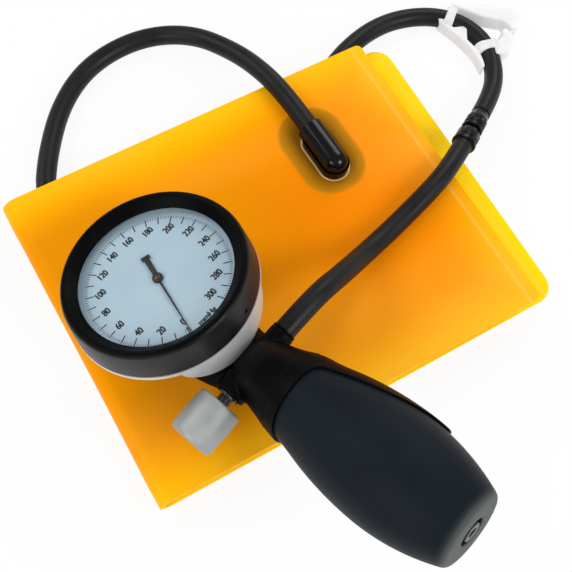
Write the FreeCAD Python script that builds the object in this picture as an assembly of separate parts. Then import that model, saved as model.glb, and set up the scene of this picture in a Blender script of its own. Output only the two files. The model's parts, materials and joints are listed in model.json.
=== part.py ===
"""Palm-held aneroid sphygmomanometer lying on its folded one-piece cuff.

Frame, millimetres: the cuff lies on the table at z = 0, +X runs from its fold to its free edges,
+Y along the fold, +Z up. The hand unit (gauge, handle, bulb) stands on the cuff with its tail raised.
"""

import FreeCAD
import Part
import math
import os

V = FreeCAD.Vector
X_AXIS, Y_AXIS, Z_AXIS = V(1, 0, 0), V(0, 1, 0), V(0, 0, 1)

# ---- driving dimensions ------------------------------------------------------------------------
# cuff, folded in two
CUFF_WIDTH = 140.0  # along the fold
FRONT_EDGE_X = 86.3  # free edge of the upper flap, at mid width
BACK_EDGE_X = 99.5  # free edge of the lower flap, which is longer
FOLD_RADIUS = 6.5  # outside of the fold
SHEET = 2.0
FOLD_X = -86.3  # outermost line of the fold at mid width: the axis about which the cuff opens
FOLD_SKEW, EDGE_SKEW = 1.5, 1.1  # it is folded a little askew
CUFF_TOP = 2 * FOLD_RADIUS

# the gauge on the cuff: centre of its lens plane, direction from which the handle leaves it
DIAL_X, DIAL_Y, DIAL_Z = -48.0, -1.9, 47.2
DIAL_YAW = -67.9
DIAL_TILT = 16.8  # the dial leans back from the bulb

# the handle's axis: a point on it under the gauge, its heading, and how far its tail is raised
GRIP_X, GRIP_Y, GRIP_Z = -44.38, -3.25, 23.91
HANDLE_YAW, HANDLE_PITCH, HANDLE_ROLL = -72.0, 18.94, 7.0

# gauge, about its own axis: z = 0 is the visible edge of the lens, + towards the reader
BEZEL_FRONT_R, BEZEL_SKIRT_R = 35.0, 36.2
BEZEL_TOP, BEZEL_FOOT = 4.5, -8.5
WINDOW_R = 29.0
LENS_R, LENS_TOP, LENS_FOOT = 33.2, 0.8, -0.8
GASKET_FOOT = -1.4
CASE_R, CASE_WALL, CASE_FLOOR = 33.6, 1.7, 1.5
CASE_LIP_R, CASE_LIP_FOOT = 36.3, -10.0
CASE_FLOOR_R, CASE_FLOOR_Z = 23.3, -23.5
NIPPLE_R = 1.2
SADDLE_HALF_WIDTH, SADDLE_DEPTH = 21.5, 11.0  # half-ellipse of wall below the lip, handle side
BOWL_FOOT = -33.0
DIAL_PLATE_R, DIAL_FACE, DIAL_THICK = 31.3, -2.3, 0.5
SCREW_ANGLE, SCREW_Z = 14.0, -4.6
THREAD_R = CASE_R + 0.1  # inside of the bezel's skirt

# movement
MODULE = 0.35
PINION_TEETH = 10
SECTOR_RATIO = 10
SECTOR_SWEEP = 32.3  # turns the pointer ten times as far, over the whole scale
PIVOT_X, PIVOT_Y = -11.0, 15.82  # sector pivot
PINION_SPAN, SECTOR_SPAN = (-10.4, -8.4), (-9.8, -9.0)  # along the arbors
ARBOR_R, PIVOT_HOLE_R = 0.6, 0.66
PILLAR_RING, PILLAR_ANGLES = 17.5, (60.0, 160.0, 280.0)
BOTTOM_PLATE, TOP_PLATE = (-12.6, -11.8), (-6.6, -5.8)
ROCKER_X, ROCKER_Z = -10.0, -16.2
ROCKER_SPAN = (-1.2, 20.0)
CAPSULE_R, CAPSULE_Z = 15.0, (-21.6, -18.6)
CAPSULE_WAVES = 6
POINTER_ZERO = 19.8  # the zero mark, clockwise past six o'clock
HAIRSPRING_START, HAIRSPRING_STEP, HAIRSPRING_TURNS = 1.6, 0.55, 9  # turns counted in halves

# handle, along its axis from the grip point
PORTS_U, PORTS_Z = 46.4, -1.0  # valve on one side, hose spout on the other
COLLAR_U = 71.6  # rim of the collar
BULB_START, BULB_END, BULB_WALL = 62.6, 140.3, 2.5
BULB_NECK_R = 14.0
SHOULDER_U, SHOULDER_R = 67.5, 15.35
FLANK_MIDDLE_U, FLANK_MIDDLE_R = 73.7, 16.1
FLANK_U, FLANK_R = 80.0, 17.4  # the hollow flank passes into the belly here
BELLY_U, BELLY_R = 108.0, 20.6
BELLY_BACK, BELLY_FRONT = 124.0, 76.0  # radii of the belly's two arcs
BULB_RIM_U = 139.2  # the rounded rim starts here
COLLAR_GAP, COLLAR_WALL = 0.1, 1.0
SPOON_TIP, SPOON_THINNING = 116.6, 0.55  # its wall thins by this much from the flank to the belly
KNOB_R, KNOB_START, KNOB_LENGTH = 8.7, 18.8, 17.2
KNOB_BORE_R, KNOB_BORE_DEPTH = 2.2, 9.0
BUSH_MOUTH = 15.9  # outer face of the valve's bush, from the handle's axis

# air passages and hoses
PASSAGE_R = 1.0
HOSE_R, HOSE_BORE_R, BORE_DEPTH = 4.0, 2.05, 6.8
PORT_MOUTH = (42.0, 40.0, 17.0)  # where the cuff hose leaves the port
PORT_TURN = 3.27
PORT_R, PORT_LENGTH, SLOT_GAP = 5.8, 24.6, 0.8
FLANGE_HALF = (14.0, 20.5)
GAUGE_HOSE = [
    (-16.3, -39.97, 39.8), (-0.41, -34.1, 41.77), (14.9, -28.2, 33.8), (33.0, -20.1, 19.2),
    (52.3, -14.1, 17.15), (76.8, -7.85, 19.0), (88.7, -1.94, 16.82), (97.25, 3.3, 14.5),
]
CUFF_HOSE = [
    (42.0, 40.0, 17.0), (41.2, 54.0, 17.0), (38.4, 71.5, 17.8), (33.0, 91.4, 14.0),
    (21.5, 113.6, 8.0), (0.5, 125.1, 4.3), (-25.0, 122.5, 4.1), (-44.9, 109.4, 4.1),
    (-60.4, 88.1, 5.6), (-71.0, 67.1, 6.4), (-65.8, 45.5, 6.2), (-45.1, 32.4, 6.2),
    (-12.0, 31.0, 6.2), (20.0, 35.0, 6.2), (45.0, 50.0, 6.2), (68.4, 68.3, 6.5),
    (91.2, 77.9, 5.2), (110.6, 79.7, 4.1), (128.7, 73.2, 4.1), (139.4, 61.8, 4.1),
    (142.6, 47.2, 4.1), (138.1, 33.3, 4.1), (127.9, 22.1, 6.2), (115.7, 14.6, 9.5),
]

# ---- frames ------------------------------------------------------------------------------------
def turned(*turns):
    """A rotation made of (axis, degrees) turns, the innermost last."""
    whole = FreeCAD.Rotation()
    for axis, degrees in turns:
        whole = whole.multiply(FreeCAD.Rotation(axis, degrees))
    return whole


UNIT = FreeCAD.Placement(
    V(GRIP_X, GRIP_Y, GRIP_Z),
    turned((Z_AXIS, HANDLE_YAW), (Y_AXIS, -HANDLE_PITCH), (X_AXIS, HANDLE_ROLL)),
)
GAUGE = FreeCAD.Placement(V(DIAL_X, DIAL_Y, DIAL_Z), turned((Z_AXIS, DIAL_YAW), (Y_AXIS, -DIAL_TILT)))
ALONG = FreeCAD.Placement(V(), FreeCAD.Rotation(Y_AXIS, 90))  # local z runs along the handle
VALVE_SIDE = FreeCAD.Placement(V(PORTS_U, 0, PORTS_Z), FreeCAD.Rotation(X_AXIS, 90))
SPOUT_SIDE = FreeCAD.Placement(V(PORTS_U, 0, PORTS_Z), FreeCAD.Rotation(X_AXIS, -90))
FOLD = FreeCAD.Placement(V(FOLD_X + FOLD_RADIUS, 0, FOLD_RADIUS), FreeCAD.Rotation(Z_AXIS, FOLD_SKEW))
PORT = FreeCAD.Placement(V(*PORT_MOUTH), FreeCAD.Rotation(Z_AXIS, PORT_TURN))
FLANGE_TOP = CUFF_TOP - SHEET - PORT_MOUTH[2]  # underside of the upper flap, from the port's axis
FLANGE_FRAME = PORT.multiply(FreeCAD.Placement(V(0, 0, FLANGE_TOP), FreeCAD.Rotation()))


# ---- helpers -----------------------------------------------------------------------------------
def placed(shape, *frames):
    """A copy of the shape put through the frames, the innermost last."""
    whole = FreeCAD.Placement()
    for frame in frames:
        whole = whole.multiply(frame)
    copy = shape.copy()
    copy.Placement = whole.multiply(copy.Placement)
    return copy


def wire_of(steps, to_vector):
    """A closed wire of straight and round edges: a step is a point or ("arc", middle, end)."""
    here = to_vector(steps[0])
    start, edges = here, []
    for step in list(steps[1:]) + [steps[0]]:
        if step[0] == "arc":
            middle, end = to_vector(step[1]), to_vector(step[2])
            edges.append(Part.Arc(here, middle, end).toShape())
        else:
            end = to_vector(step)
            if (end - here).Length < 1e-6:
                continue
            edges.append(Part.LineSegment(here, end).toShape())
        here = end
    if (here - start).Length > 1e-6:
        edges.append(Part.LineSegment(here, start).toShape())
    return Part.Wire(edges)


def lathe(*steps):
    """A turned piece: the outline (radius, z) revolved about Z."""
    face = Part.Face(wire_of(steps, lambda p: V(p[0], 0, p[1])))
    return face.revolve(V(), Z_AXIS, 360)


def plate(steps, z0, z1):
    """A flat plate: the outline (x, y) extruded from z0 to z1."""
    face = Part.Face(wire_of(steps, lambda p: V(p[0], p[1], z0)))
    return face.extrude(V(0, 0, z1 - z0))


def rod(radius, z0, z1, x=0.0, y=0.0):
    return Part.makeCylinder(radius, z1 - z0, V(x, y, z0))


def block(x0, x1, y0, y1, z0, z1):
    return Part.makeBox(x1 - x0, y1 - y0, z1 - z0, V(x0, y0, z0))


def polar(radius, degrees, z=0.0):
    return V(radius * math.cos(math.radians(degrees)), radius * math.sin(math.radians(degrees)), z)


def turned_copies(shape, angles):
    copies = []
    for angle in angles:
        copy = shape.copy()
        copy.rotate(V(), Z_AXIS, angle)
        copies.append(copy)
    return copies


def export(name, shape):
    solid = shape.removeSplitter()
    if not solid.isValid():
        raise ValueError(name + " is not a valid solid")
    solid.exportStep("parts/" + name + ".step")


# ---- gauge: bezel, lens and case ---------------------------------------------------------------
def bezel_ring():
    """Screw-on ring: rounded front, dished inner face, a skirt over the case, three grub-screw holes."""
    ring = lathe(
        (WINDOW_R, LENS_TOP), (31.9, 3.7), ("arc", (33.2, 4.45), (BEZEL_FRONT_R - 0.6, 3.6)),
        (BEZEL_FRONT_R, 2.6), (BEZEL_SKIRT_R, BEZEL_FOOT + 0.5), (BEZEL_SKIRT_R - 0.4, BEZEL_FOOT),
        (THREAD_R, BEZEL_FOOT), (THREAD_R, LENS_TOP),
    )
    return ring.cut(Part.makeCompound(grub_screws(0.9, 2.0)))


def grub_screws(radius, length):
    """Three cylinders through the bezel's skirt: the screws, or a size larger their holes."""
    one = Part.makeCylinder(radius, length, V(THREAD_R, 0, SCREW_Z), X_AXIS)
    first = turned_copies(one, [SCREW_ANGLE])[0]
    return turned_copies(first, [0, 120, 240])


def bezel_screws():
    return Part.makeCompound(grub_screws(0.85, 1.7))


def lens():
    return lathe((0, LENS_FOOT), (LENS_R, LENS_FOOT), (LENS_R, LENS_TOP), (0, LENS_TOP))


def lens_gasket():
    inner = LENS_R - 2.6
    return lathe((inner, GASKET_FOOT), (LENS_R, GASKET_FOOT), (LENS_R, LENS_FOOT), (inner, LENS_FOOT))


def case_outline(grow):
    """Outside of the cup below its lip, from the lip's foot down to the floor."""
    return [(CASE_R - 0.4 + grow, CASE_LIP_FOOT), (CASE_FLOOR_R + 1.2 + grow, CASE_FLOOR_Z + 1.6),
            (CASE_FLOOR_R - 0.6, CASE_FLOOR_Z - grow), (0, CASE_FLOOR_Z - grow)]


def gauge_case():
    """Turned cup with a narrow lip under the bezel, and a deep saddle on the side of the handle."""
    side, corner, floor, _ = case_outline(0)
    inner_r, inner_floor, lip_top = CASE_R - CASE_WALL, CASE_FLOOR_Z + CASE_FLOOR, BEZEL_FOOT - 0.05
    cup = lathe(
        (0, floor[1]), floor, corner, side, (CASE_LIP_R, CASE_LIP_FOOT), (CASE_LIP_R, lip_top),
        (CASE_R, lip_top), (CASE_R, GASKET_FOOT), (inner_r, GASKET_FOOT), (inner_r, CASE_LIP_FOOT),
        (corner[0] - CASE_WALL - 0.6, inner_floor), (0, inner_floor),
    )
    wall = saddle(0).cut(rod(CASE_R - 4.0, -30, 0))
    return cup.fuse(wall).cut(rod(NIPPLE_R, CASE_FLOOR_Z - 1, CASE_FLOOR_Z + 2))


def saddle(grow):
    """The deep part of the case wall: a half ellipse seen along the handle."""
    ellipse = Part.Ellipse(V(), SADDLE_HALF_WIDTH + grow, SADDLE_DEPTH + grow)
    face = Part.Face(Part.Wire([ellipse.toShape()]))
    face.rotate(V(), V(1, 1, 1), 120)
    face.translate(V(0, 0, CASE_LIP_FOOT + 0.5))
    prism = face.extrude(V(60, 0, 0))
    return prism.common(rod(CASE_LIP_R + grow, -40, CASE_LIP_FOOT + 0.5))


def pressure_nipple():
    """Brass stub that carries the air from the handle's passage through the case floor."""
    return lathe(
        (0.6, CASE_FLOOR_Z + 1.8), (NIPPLE_R, CASE_FLOOR_Z + 1.8), (NIPPLE_R, CASE_FLOOR_Z - 0.1),
        (2.9, CASE_FLOOR_Z - 0.1), (2.9, CASE_FLOOR_Z - 4.0), (0.6, CASE_FLOOR_Z - 4.0),
    )


# ---- gauge: movement ---------------------------------------------------------------------------
def dial_plate():
    back = DIAL_FACE - DIAL_THICK
    return lathe((2.0, back), (DIAL_PLATE_R, back), (DIAL_PLATE_R, DIAL_FACE), (2.0, DIAL_FACE))


def diaphragm_capsule():
    """Two corrugated discs soldered at the rim, on a short hollow foot."""
    low, high = CAPSULE_Z
    middle = (low + high) / 2
    waves = [(CAPSULE_R * k / CAPSULE_WAVES, 0.28 * (k % 2)) for k in range(1, CAPSULE_WAVES)]
    top = [(r, high - 0.35 + dz) for r, dz in waves]
    bottom = [(r, low + 0.35 - dz) for r, dz in waves]
    return lathe((0, low), *bottom, (CAPSULE_R - 0.4, low + 0.9), (CAPSULE_R, middle),
                 (CAPSULE_R - 0.4, high - 0.9), *reversed(top), (0, high - 0.35))


def capsule_pin():
    """Rides on the capsule and lifts the rocking shaft's level arm."""
    foot, top = CAPSULE_Z[1] + 0.05, ROCKER_Z - 0.5
    return lathe(
        (0, foot), (2.2, foot), (2.2, foot + 0.4), (0.8, foot + 0.6), (0.8, top - 0.2), (0.5, top), (0, top),
    )


def movement_outline():
    """Both plates: a disc with three ears for the pillars and a field round the sector's pivot."""
    ears = [polar(PILLAR_RING, a) for a in PILLAR_ANGLES]
    disc = rod(13.0, 0, 1)
    for ear in ears:
        arm = block(0, PILLAR_RING, -2.6, 2.6, 0, 1)
        arm.rotate(V(), Z_AXIS, math.degrees(math.atan2(ear.y, ear.x)))
        disc = disc.fuse([arm, rod(2.6, 0, 1, ear.x, ear.y)])
    return disc.fuse(rod(3.0, 0, 1, PIVOT_X, PIVOT_Y)).fuse(
        plate([(-16, 0), (-4, 0), (-4, 19), (-14.0, 19), (-16.0, 12)], 0, 1))


def movement_plate(span):
    shape = movement_outline()
    shape.translate(V(0, 0, span[0]))
    shape = shape.common(rod(30, span[0], span[1]))
    pivots = ((0, 0), (PIVOT_X, PIVOT_Y))
    return shape.cut([rod(PIVOT_HOLE_R, span[0] - 1, span[1] + 1, x, y) for x, y in pivots])


def movement_bottom_plate():
    """Carries both lower pivots, and two lugs under it for the rocking shaft."""
    body = movement_plate(BOTTOM_PLATE)
    arm_window = block(ROCKER_X - 3.0, ROCKER_X + 1.8, 17.4, 21.0, BOTTOM_PLATE[0] - 1, BOTTOM_PLATE[1] + 1)
    body = body.cut(arm_window)
    for y in (3.0, 11.5):
        lug = block(ROCKER_X - 1.6, ROCKER_X + 1.6, y, y + 1.3, ROCKER_Z - 1.5, BOTTOM_PLATE[0] + 0.4)
        body = body.fuse(lug)
    shaft_hole = Part.makeCylinder(PIVOT_HOLE_R, 30, V(ROCKER_X, -5, ROCKER_Z), Y_AXIS)
    return body.cut(shaft_hole)


def movement_top_plate():
    """Upper bridge, with two feet that hold the dial and a post for the hairspring."""
    body = movement_plate(TOP_PLATE)
    foot_places = ((11.0, -5.0), (-11.5, 6.0))
    feet = [rod(1.0, TOP_PLATE[1] - 0.1, DIAL_FACE - DIAL_THICK, x, y) for x, y in foot_places]
    post = rod(0.4, TOP_PLATE[1] - 0.1, -4.4, hairspring_end(), 0.4)
    return body.fuse(feet + [post])


def movement_pillars():
    pillars = []
    for angle in PILLAR_ANGLES:
        at = polar(PILLAR_RING, angle)
        pillars.append(rod(1.5, CASE_FLOOR_Z + CASE_FLOOR, BOTTOM_PLATE[0], at.x, at.y))
        pillars.append(rod(1.3, BOTTOM_PLATE[1], TOP_PLATE[0], at.x, at.y))
    return Part.makeCompound(pillars)


def tooth(pitch_r, tip, root, span):
    """One straight-flanked tooth centred on +X, with the given widths at its tip and root."""
    root_r, tip_r, pitch_w = pitch_r - 1.25 * MODULE, pitch_r + 0.85 * MODULE, 0.42
    flank = [(root_r - 0.3, root / 2), (root_r, root / 2), (pitch_r, pitch_w / 2), (tip_r, tip / 2)]
    return plate([(r, -w) for r, w in flank] + list(reversed(flank)), *span)


def pinion_arbor():
    """Steel arbor with the ten-leaf pinion cut on it; its upper end carries the pointer."""
    pitch_r = MODULE * PINION_TEETH / 2
    arbor = rod(ARBOR_R, BOTTOM_PLATE[0] + 0.1, -1.2)
    hub = rod(pitch_r - 1.25 * MODULE + 0.05, *PINION_SPAN)
    first = math.degrees(math.atan2(PIVOT_Y, PIVOT_X))
    one = tooth(pitch_r, 0.17, 0.52, PINION_SPAN)
    leaves = turned_copies(one, [first + 360.0 / PINION_TEETH * k for k in range(PINION_TEETH)])
    return arbor.fuse([hub] + leaves)


def sector_gear():
    """Toothed sector on its own arbor, with a short tail that the rocking shaft pushes."""
    pitch_r = SECTOR_RATIO * MODULE * PINION_TEETH / 2
    pitch_angle = 360.0 / (SECTOR_RATIO * PINION_TEETH)
    root_r = pitch_r - 1.25 * MODULE
    start = 1.5 * pitch_angle  # one and a half teeth spare beyond each end of the sweep
    end = -(SECTOR_SWEEP + 1.5 * pitch_angle)
    middle, inner, outer = (start + end) / 2, root_r - 2.2, root_r + 0.02
    rim = plate([polar(inner, start), ("arc", polar(inner, middle), polar(inner, end)),
                 polar(outer, end), ("arc", polar(outer, middle), polar(outer, start))], *SECTOR_SPAN)
    count = int(round((start - end) / pitch_angle))
    one = tooth(pitch_r, 0.2, 0.62, SECTOR_SPAN)
    teeth = turned_copies(one, [start - pitch_angle * k for k in range(count)])
    arm = block(0, root_r - 1.5, -0.7, 0.7, *SECTOR_SPAN)
    arms = turned_copies(arm, [start - 3.0, end + 3.0])
    gear = rim.fuse(teeth + arms)
    gear.rotate(V(), Z_AXIS, math.degrees(math.atan2(-PIVOT_Y, -PIVOT_X)))
    tail = block(-0.5, 0.5, 0, 4.1, *SECTOR_SPAN)
    arbor = [rod(ARBOR_R, BOTTOM_PLATE[0] + 0.1, TOP_PLATE[1] - 0.1), rod(1.7, *PINION_SPAN)]
    gear = gear.fuse([tail] + arbor)
    gear.translate(V(PIVOT_X, PIVOT_Y, 0))
    return gear


def rocking_shaft():
    """Shaft with a level arm over the capsule's pin and an upright arm at the sector's tail."""
    y0, y1 = ROCKER_SPAN
    shaft = Part.makeCylinder(ARBOR_R, y1 - y0, V(ROCKER_X, y0, ROCKER_Z), Y_AXIS)
    level_arm = block(ROCKER_X - 0.6, 0.9, -0.8, 0.8, ROCKER_Z - 0.4, ROCKER_Z + 0.4)
    upright = block(ROCKER_X - 0.4, ROCKER_X + 0.4, 19.0, 19.8, ROCKER_Z, -8.8)
    return shaft.fuse([level_arm, upright])


def hairspring_end():
    """Radius reached by the last half turn, on the +X side."""
    return HAIRSPRING_START + HAIRSPRING_STEP * (HAIRSPRING_TURNS - 1) / 2.0


def hairspring():
    """Flat spiral of half turns of growing radius, on alternating centres."""
    halves = []
    for k in range(HAIRSPRING_TURNS):
        radius = HAIRSPRING_START + HAIRSPRING_STEP * k / 2
        centre = 0.0 if k % 2 == 0 else HAIRSPRING_STEP / 2
        ring = rod(radius + 0.09, -5.2, -4.6).cut(rod(radius - 0.09, -5.4, -4.4))
        side = (0, 9) if k % 2 else (-9, 0)
        half = ring.common(block(-9, 9, *side, -6, -4))
        half.translate(V(-centre, 0, 0))
        halves.append(half)
    return halves[0].fuse(halves[1:])


def pointer():
    """Blued-steel hand: long taper to the scale, short tail with a crossbar, ring hub."""
    z0, z1 = -1.8, -1.45
    reach, tail, end = 27.6, -9.6, -11.3
    blade = plate([(0, -0.75), (reach - 1.2, -0.28), (reach, 0), (reach - 1.2, 0.28), (0, 0.75),
                   (tail, 0.85), (tail, 1.35), (tail - 0.9, 1.35), (end, 0), (tail - 0.9, -1.35),
                   (tail, -1.35), (tail, -0.85)], z0, z1)
    hub = lathe((ARBOR_R, -2.2), (2.4, -2.2), (2.7, -1.9), (2.7, -1.4), (2.2, -1.0), (ARBOR_R, -1.0))
    hand = blade.fuse(hub).cut(rod(ARBOR_R, -3, 0))
    hand.rotate(V(), Z_AXIS, -POINTER_ZERO)
    return hand


# ---- handle ------------------------------------------------------------------------------------
def ring_wire(u, v, z, half_v, half_z):
    """Elliptic section of the neck across the handle at u."""
    wide = half_v >= half_z
    curve = Part.Ellipse(V(), max(half_v, half_z), min(half_v, half_z))
    wire = Part.Wire([curve.toShape()])
    if not wide:
        wire.rotate(V(), Z_AXIS, 90)
    wire.rotate(V(), V(1, 1, 1), 120)  # x, y, z of the section become the unit's y, z, x
    wire.translate(V(u, v, z))
    return wire


PLUG_ROOM_END = 67.4  # the outlet valve's seat reaches this far
NECK_SECTIONS = [  # u, centre across, centre height, half width, half height
    (20.5, -3.2, -7.4, 16.8, 9.0), (30.0, -2.5, -7.2, 14.8, 9.6), (38.0, -1.9, -7.7, 13.2, 8.2),
    (46.0, -0.9, -3.5, 12.4, 10.3), (52.4, -0.6, -1.0, 12.6, 11.9), (58.2, -0.5, 0, 13.7, 13.5),
    (63.6, -0.2, 0, 15.3, 15.2), (67.4, 0, 0, 16.6, 16.59), (COLLAR_U, 0, 0, 17.1, 17.09),
]


def neck():
    """Trumpet from the bowl to the rim of the bulb's collar."""
    return Part.makeLoft([ring_wire(*section) for section in NECK_SECTIONS], True, False)


def belly(u):
    """Radius of the bulb's belly at u: two arcs that meet at its widest place."""
    arc = BELLY_BACK if u < BELLY_U else BELLY_FRONT
    return BELLY_R - arc + math.sqrt(arc**2 - (u - BELLY_U) ** 2)


def bulb_form(grow, neck_u, tail_u, thinning=0.0):
    """Solid with the outline of the bulb's side, grown outwards, from its neck to a station on the belly."""
    def at(u, radius):
        return radius + grow - thinning * max(u - FLANK_U, 0) / (BELLY_U - FLANK_U), u

    def belly_arc(u0, u1):
        middle = (u0 + u1) / 2
        return "arc", at(middle, belly(middle)), at(u1, belly(u1))

    return lathe(
        (0, neck_u), at(neck_u, BULB_NECK_R), at(SHOULDER_U - 1.1, BULB_NECK_R),
        at(SHOULDER_U, SHOULDER_R), ("arc", at(FLANK_MIDDLE_U, FLANK_MIDDLE_R), at(FLANK_U, FLANK_R)),
        belly_arc(FLANK_U, BELLY_U), belly_arc(BELLY_U, tail_u), (0, tail_u),
    )


def side_view(steps, v0, v1):
    """Prism across the handle: the outline (u, height) extruded from v0 to v1."""
    face = Part.Face(wire_of(steps, lambda p: V(p[0], v0, p[1])))
    return face.extrude(V(0, v1 - v0, 0))


def spoon():
    """Palm rest: one side of the collar drawn out along the bulb into a thin leaf."""
    outside = bulb_form(COLLAR_GAP + COLLAR_WALL, 66.0, SPOON_TIP + 2, SPOON_THINNING)
    root, side, shoulder, tip = 15.4, 12.9, 10.0, 3.4  # half heights of the leaf along its length
    leaf = side_view([
        (69, -root), (69, root), (COLLAR_U, root), ("arc", (72.8, 13.6), (75.5, side)), (84.0, side),
        ("arc", (102.0, shoulder), (115.2, tip)), ("arc", (SPOON_TIP, 0), (115.2, -tip)),
        ("arc", (102.0, -shoulder), (84.0, -side)), (75.5, -side), ("arc", (72.8, -13.6), (COLLAR_U, -root)),
    ], 0.5, 40)
    return placed(outside, ALONG).common(leaf)


def handle_body():
    """Moulded body in one piece: bowl under the gauge, neck, collar, palm rest, and its air passages."""
    bowl = placed(lathe(
        (0, BOWL_FOOT), (13.0, BOWL_FOOT), ("arc", (18.5, BOWL_FOOT + 0.9), (21.5, BOWL_FOOT + 4.5)),
        (CASE_LIP_R - 0.7, CASE_LIP_FOOT - 0.1), (0, CASE_LIP_FOOT - 0.1),
    ), GAUGE)
    valve_boss = placed(lathe((0, 8), (6.4, 8), (6.0, 14.9), (5.6, 15.3), (0, 15.3)), UNIT, VALVE_SIDE)
    spout_boss = placed(rod(4.9, 8, 14.6), UNIT, SPOUT_SIDE)
    body = bowl.fuse([placed(neck(), UNIT), valve_boss, spout_boss])
    under_cuff_top = block(-150, 150, -150, 150, -60, CUFF_TOP)
    side, corner, floor, middle = case_outline(0.08)
    room_r = CASE_LIP_R + 1.2
    cup_room = lathe((0, 6), middle, floor, corner, side, (room_r, CASE_LIP_FOOT), (room_r, 6))
    body = body.cut([under_cuff_top, placed(cup_room, GAUGE), placed(saddle(0.1), GAUGE)])
    body = body.fuse(placed(spoon(), UNIT))
    nipple_seat = placed(rod(2.95, CASE_FLOOR_Z - 4.1, CASE_FLOOR_Z + 1), GAUGE)
    nipple_foot = GAUGE.multVec(V(0, 0, CASE_FLOOR_Z - 6.5))
    well = placed(rod(PASSAGE_R, CASE_FLOOR_Z - 7.0, CASE_FLOOR_Z - 4.0), GAUGE)
    bend = UNIT.multVec(V(PORTS_U, 0, PORTS_Z))
    slant = Part.makeCylinder(PASSAGE_R, (bend - nipple_foot).Length, nipple_foot, bend - nipple_foot)
    to_bulb = placed(Part.makeCylinder(PASSAGE_R, 20, V(PORTS_U, 0, PORTS_Z), X_AXIS), UNIT)
    bush_seat = placed(rod(4.55, 6.4, 20), UNIT, VALVE_SIDE)
    spout_seat = placed(rod(1.4, 5.9, 20), UNIT, SPOUT_SIDE)
    outlet_seat = placed(rod(4.55, OUTLET_START - 0.1, PLUG_ROOM_END), UNIT, ALONG)
    bulb_seat = placed(bulb_form(COLLAR_GAP, BULB_START - 0.1, SPOON_TIP + 3), UNIT, ALONG)
    across = [placed(rod(PASSAGE_R, 0, 8), UNIT, side_frame) for side_frame in (VALVE_SIDE, SPOUT_SIDE)]
    seats = [nipple_seat, bush_seat, spout_seat, outlet_seat, bulb_seat]
    return body.cut(seats + [well, slant, to_bulb] + across)


def hose_spout():
    """Barbed nipple pressed into the spout boss; the gauge hose is pushed over it."""
    flange_foot, flange_top = 14.65, 15.3
    return lathe((0.8, 6.0), (1.35, 6.0), (1.35, flange_foot), (4.7, flange_foot), (4.7, flange_top),
                 *barbs(flange_top, 1), (0.8, flange_top + BARB_LENGTH))


def valve_bush():
    """Threaded insert with the needle's seat at its inner end and two vent slots in its face."""
    bush = lathe((0.8, 6.5), (4.5, 6.5), (4.5, BUSH_MOUTH), (2.35, BUSH_MOUTH), (2.35, 8.4), (0.8, 8.4))
    vents = [block(x, x + 2.6, -0.5, 0.5, BUSH_MOUTH - 2.0, BUSH_MOUTH + 0.6) for x in (-5.0, 2.4)]
    return bush.cut(vents)


def valve_needle():
    """Threaded stem: cone on the seat, ridges of the thread between bush and knob, root fixed in the knob."""
    stem_r, thread_r, thread_root = 2.28, 2.9, KNOB_BORE_R - 0.05
    steps = [(0, 8.0), (0.7, 8.6), (stem_r, 11.0), (stem_r, BUSH_MOUTH + 0.2)]
    for k in range(3):
        z = BUSH_MOUTH + 0.3 + 0.8 * k
        steps += [(thread_root, z), (thread_r, z + 0.25), (thread_r, z + 0.45), (thread_root, z + 0.7)]
    end = KNOB_START + KNOB_BORE_DEPTH - 0.1
    return lathe(*steps, (thread_root, end), (0, end))


def valve_knob():
    """Smooth, slightly barrelled knob with rounded rims."""
    start, end = KNOB_START, KNOB_START + KNOB_LENGTH
    bore_end = start + KNOB_BORE_DEPTH
    return lathe(
        (KNOB_BORE_R, start), (KNOB_R - 1.2, start),
        ("arc", (KNOB_R - 0.35, start + 0.35), (KNOB_R, start + 1.2)),
        ("arc", (KNOB_R + 0.2, start + 7.0), (KNOB_R, end - 1.4)),
        ("arc", (KNOB_R - 0.4, end - 0.4), (KNOB_R - 1.4, end)), (0, end), (0, bore_end),
        (KNOB_BORE_R, bore_end),
    )


OUTLET_START = BULB_START - 3.0
OUTLET_SEAT = OUTLET_START + 8.6  # the disc closes against it from the handle's side


def outlet_valve_body():
    """Plug between bulb and handle; its disc lets air leave the bulb only."""
    end = OUTLET_START + 14.0
    return lathe(
        (1.3, OUTLET_START), (4.45, OUTLET_START), (4.45, end), (1.3, end), (1.3, OUTLET_SEAT),
        (3.3, OUTLET_SEAT), (3.3, OUTLET_START + 2.5), (1.3, OUTLET_START + 2.5),
    )


def outlet_valve_disc():
    return rod(2.9, OUTLET_SEAT - 1.1, OUTLET_SEAT - 0.1)


INLET_BORE = 4.7  # bore of the bulb's tail, around the inlet valve's body
CHAMBER_END = BULB_END - 4.5
INLET_HOLE_R, BALL_R = 2.0, 2.6


def bulb():
    """Hollow rubber bulb: thick plug in the collar, wide belly, flat end around the inlet valve."""
    side = bulb_form(0, BULB_START, BULB_RIM_U)
    slope = math.asin((BULB_RIM_U - BELLY_U) / BELLY_FRONT)  # of the side where the rim starts
    rim_r, rounding = belly(BULB_RIM_U), (BULB_END - BULB_RIM_U) / (1 - math.sin(slope))
    face_r, halfway = rim_r - rounding * math.cos(slope), (slope + math.pi / 2) / 2
    rim_middle = (face_r + rounding * math.cos(halfway), BULB_END - rounding * (1 - math.sin(halfway)))
    tail = lathe((0, BULB_RIM_U), (rim_r, BULB_RIM_U), ("arc", rim_middle, (face_r, BULB_END)), (0, BULB_END))
    plug_end, tail_start = BULB_START + 10.5, BULB_END - 8.0
    hollow = bulb_form(-BULB_WALL, BULB_START, tail_start)
    hollow = hollow.cut(rod(30, BULB_START - 1, plug_end))
    bores = [rod(4.5, BULB_START - 1, plug_end + 1), rod(INLET_BORE, tail_start - 1, BULB_END),
             rod(6.4, BULB_END - 2.1, BULB_END + 1)]
    return side.fuse(tail).cut([hollow] + bores)


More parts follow.
